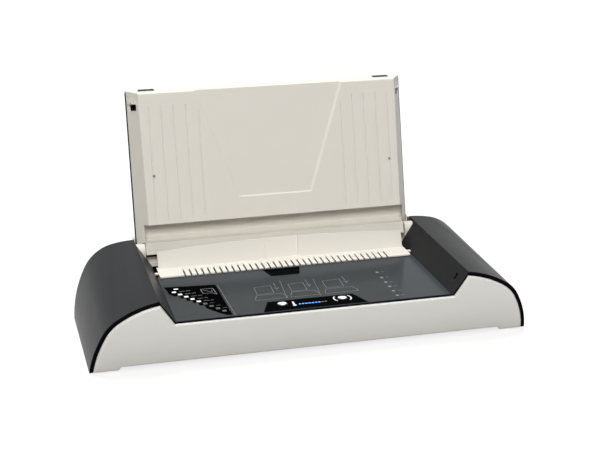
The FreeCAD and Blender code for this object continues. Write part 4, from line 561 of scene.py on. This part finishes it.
silicone_mat = woven("silicone_mat", (0.42, 0.13, 0.045), (0.28, 0.08, 0.03), 0.0016, 0.55)
finish_node("heater_element", silicone_mat)
fibre_board = woven("fibre_board", (0.68, 0.63, 0.52), (0.52, 0.47, 0.38), 0.0011, 0.85)
finish_node("insulation_pad", fibre_board)
glass_sleeve = woven("glass_sleeve", (0.82, 0.80, 0.75), (0.60, 0.58, 0.53), 0.0007, 0.7)
finish_node("thermal_fuse", glass_sleeve)
lever_white = moulded("lever_acetal", (0.74, 0.74, 0.71), (0.85, 0.85, 0.83), 0.34, cell=0.0005)
finish_node("sensor_lever", lever_white)
finish_node("sensor_switch", black_trim)

# Boards and their parts
# Green glass epoxy boards carry the keys, lamps, buzzer and controller at the front
# and the supply parts at the back, all soldered in place.
board_green, track_green = (0.012, 0.10, 0.035), (0.03, 0.20, 0.07)
track_scale, track_gap = 60.0, 0.06
route_scale, route_share = 90.0, 0.47
mask_rough, mask_spread = 0.28, 0.15
track_depth = 0.00004
board, tree, skin = new_material("circuit_board")
place = own_place(tree)
tracks = tree.nodes.new("ShaderNodeTexBrick")
tracks.inputs["Scale"].default_value = track_scale
tracks.inputs["Mortar Size"].default_value = track_gap
tree.links.new(place, tracks.inputs["Vector"])
routes = noise(tree, place, route_scale, detail=1.0)
kept_routes = maths(tree, "GREATER_THAN", routes, route_share)
copper = maths(tree, "MULTIPLY", tracks.outputs["Fac"], kept_routes)
tree.links.new(mixed(tree, copper, board_green, track_green), skin.inputs["Base Color"])
tree.links.new(varied(tree, mask_rough, routes, mask_spread), skin.inputs["Roughness"])
add_relief(tree, skin, copper, track_depth)
for piece in ("control_board", "power_board"):
    finish_node(piece, board)
for piece in ("key_switches", "buzzer"):
    finish_node(piece, black_trim)
finish_node("heat_sink", plate_metal)
chip_epoxy = moulded("chip_epoxy", (0.018, 0.018, 0.018), (0.05, 0.05, 0.05), 0.6, cell=0.0003)
finish_node("controller_chip", chip_epoxy)
lamp_housing = moulded("lamp_housing", (0.78, 0.79, 0.77), (0.9, 0.9, 0.9), 0.5, cell=0.0004)
finish_node("lamp_strip", lamp_housing)
finish_node("relay", glossy("relay_case", (0.03, 0.07, 0.20), 0.25))
finish_node("capacitor", glossy("shrunk_sleeve", (0.012, 0.020, 0.050), 0.35))

# the transformer's core is a stack of lacquered sheets
sheet_scale = 620.0
gap_brown, sheet_brown = (0.09, 0.07, 0.05), (0.23, 0.19, 0.15)
lacquer_rough, lacquer_spread = 0.35, 0.2
sheet_depth = 0.0001
laminations, tree, skin = new_material("lacquered_laminations")
stack = tree.nodes.new("ShaderNodeTexWave")
stack.bands_direction = "Y"
stack.inputs["Scale"].default_value = sheet_scale
tree.links.new(own_place(tree), stack.inputs["Vector"])
sheets = stack.outputs["Fac"]
tree.links.new(mixed(tree, sheets, gap_brown, sheet_brown), skin.inputs["Base Color"])
tree.links.new(varied(tree, lacquer_rough, sheets, lacquer_spread), skin.inputs["Roughness"])
add_relief(tree, skin, sheets, sheet_depth)
finish_node("transformer", laminations)

# Tray and feet
# A ribbed black tray closes the case from below. Four rubber feet are pressed into
# its corners and the case screws go up beside them.
tray_black = moulded("tray_black_abs", (0.016, 0.016, 0.017), (0.05, 0.05, 0.052), 0.5,
                     cell=0.0011, depth=0.00007, wear_and_highlight=0.3, tone=0.15)
finish_node("base_tray", tray_black)
foot_rubber = moulded("foot_rubber", (0.012, 0.012, 0.012), (0.03, 0.03, 0.03), 0.85,
                      cell=0.0004, depth=0.00006, wear_and_highlight=0.3)
finish_node("rubber_feet", foot_rubber)

# Mains inlet and power switch
# A moulded inlet with three plated blades and a rocker switch beside it sit in the
# rear cover, snapped in from outside.
inlet_resin = moulded("inlet_resin", (0.011, 0.011, 0.011), (0.04, 0.04, 0.04), 0.45,
                      cell=0.0005, wear_and_highlight=0.3)
for piece in ("mains_inlet", "switch_body"):
    finish_node(piece, inlet_resin)
plated_brass = metal("plated_brass", (0.66, 0.62, 0.54), 0.25, (2000, 120, 2000), (0.8, 0.78, 0.72))
finish_node("inlet_blades", plated_brass)
finish_node("rocker_cap", glossy("rocker_gloss", (0.014, 0.014, 0.014), 0.2))

# Studio
# The machine stands on a wide sheet of white paper that keeps its soft shadow, under
# an even sky that is seen as white and two broad soft lights, one high in front and
# one above.
white = (1.0, 1.0, 1.0, 1.0)
sky_fill, seen_sky = 0.06, 1.0
paper_grey, paper_lift, paper_reach = 0.26, 0.76, 6.0


def seen_white(tree, lit_shader, white_shader):
    """The lit shader, but the white one for camera, glossy and transmission rays."""
    rays = tree.nodes.new("ShaderNodeLightPath")
    seen = maths(tree, "MAXIMUM", rays.outputs["Is Camera Ray"], rays.outputs["Is Glossy Ray"])
    seen = maths(tree, "MAXIMUM", seen, rays.outputs["Is Transmission Ray"])
    mix = tree.nodes.new("ShaderNodeMixShader")
    tree.links.new(seen, mix.inputs["Fac"])
    tree.links.new(lit_shader, mix.inputs[1])
    tree.links.new(white_shader, mix.inputs[2])
    return mix.outputs["Shader"]


world = bpy.data.worlds.new("studio_sky")
bpy.context.scene.world = world
world.use_nodes = True
tree = world.node_tree
sky = tree.nodes["Background"]
white_sky = tree.nodes.new("ShaderNodeBackground")
for background, strength in ((sky, sky_fill), (white_sky, seen_sky)):
    background.inputs["Color"].default_value = white
    background.inputs["Strength"].default_value = strength
tree.links.new(seen_white(tree, sky.outputs["Background"], white_sky.outputs["Background"]),
               tree.nodes["World Output"].inputs["Surface"])

floor_mesh = bpy.data.meshes.new("floor")
corners = ((-1, -1), (1, -1), (1, 1), (-1, 1))
rim = [(sx * paper_reach, sy * paper_reach, 0) for sx, sy in corners]
floor_mesh.from_pydata(rim, [], [range(len(rim))])
floor = bpy.data.objects.new("floor", floor_mesh)
bpy.context.scene.collection.objects.link(floor)
paper, tree, sheet = new_material("white_paper")
sheet.inputs["Base Color"].default_value = (paper_grey, paper_grey, paper_grey, 1.0)
sheet.inputs["Roughness"].default_value = 0.9
sheet.inputs["Specular IOR Level"].default_value = 0.0
bright = tree.nodes.new("ShaderNodeEmission")
bright.inputs["Strength"].default_value = paper_lift
lifted = tree.nodes.new("ShaderNodeAddShader")
tree.links.new(sheet.outputs["BSDF"], lifted.inputs[0])
tree.links.new(bright.outputs["Emission"], lifted.inputs[1])
tree.links.new(seen_white(tree, sheet.outputs["BSDF"], lifted.outputs["Shader"]),
               tree.nodes["Material Output"].inputs["Surface"])
floor_mesh.materials.append(paper)


def soft_light(name, place, spread, power):
    """A broad even light that falls from a place towards the machine, with soft shadows."""
    lamp = bpy.data.lights.new(name, "SUN")
    lamp.angle = math.radians(spread)
    lamp.energy = power
    holder = bpy.data.objects.new(name, lamp)
    bpy.context.scene.collection.objects.link(holder)
    holder.location = place
    holder.rotation_euler = (-Vector(place)).to_track_quat("-Z", "Y").to_euler()


soft_light("key_light", (-0.35, -1.9, 1.35), spread=28, power=2.25)
soft_light("top_light", (-0.15, 0.50, 2.1), spread=32, power=2.7)

# the photograph's view, from a camera fitted to the machine in it
lens_length, film_width = 79.77, 36.0
view_place = (-0.3643, -1.5392, 0.5492)
forward = Vector((0.229, 0.9384, -0.2588)).normalized()
side = forward.cross(Vector((0.0835, 0.246, 0.9657))).normalized()
upward = side.cross(forward)
camera = bpy.data.cameras.new("camera")
camera.lens = lens_length
camera.sensor_width = film_width
viewer = bpy.data.objects.new("camera", camera)
bpy.context.scene.collection.objects.link(viewer)
turn = Matrix((side, upward, -forward)).transposed().to_4x4()
viewer.matrix_world = Matrix.Translation(view_place) @ turn
bpy.context.scene.camera = viewer
bpy.context.scene.view_settings.view_transform = "Standard"
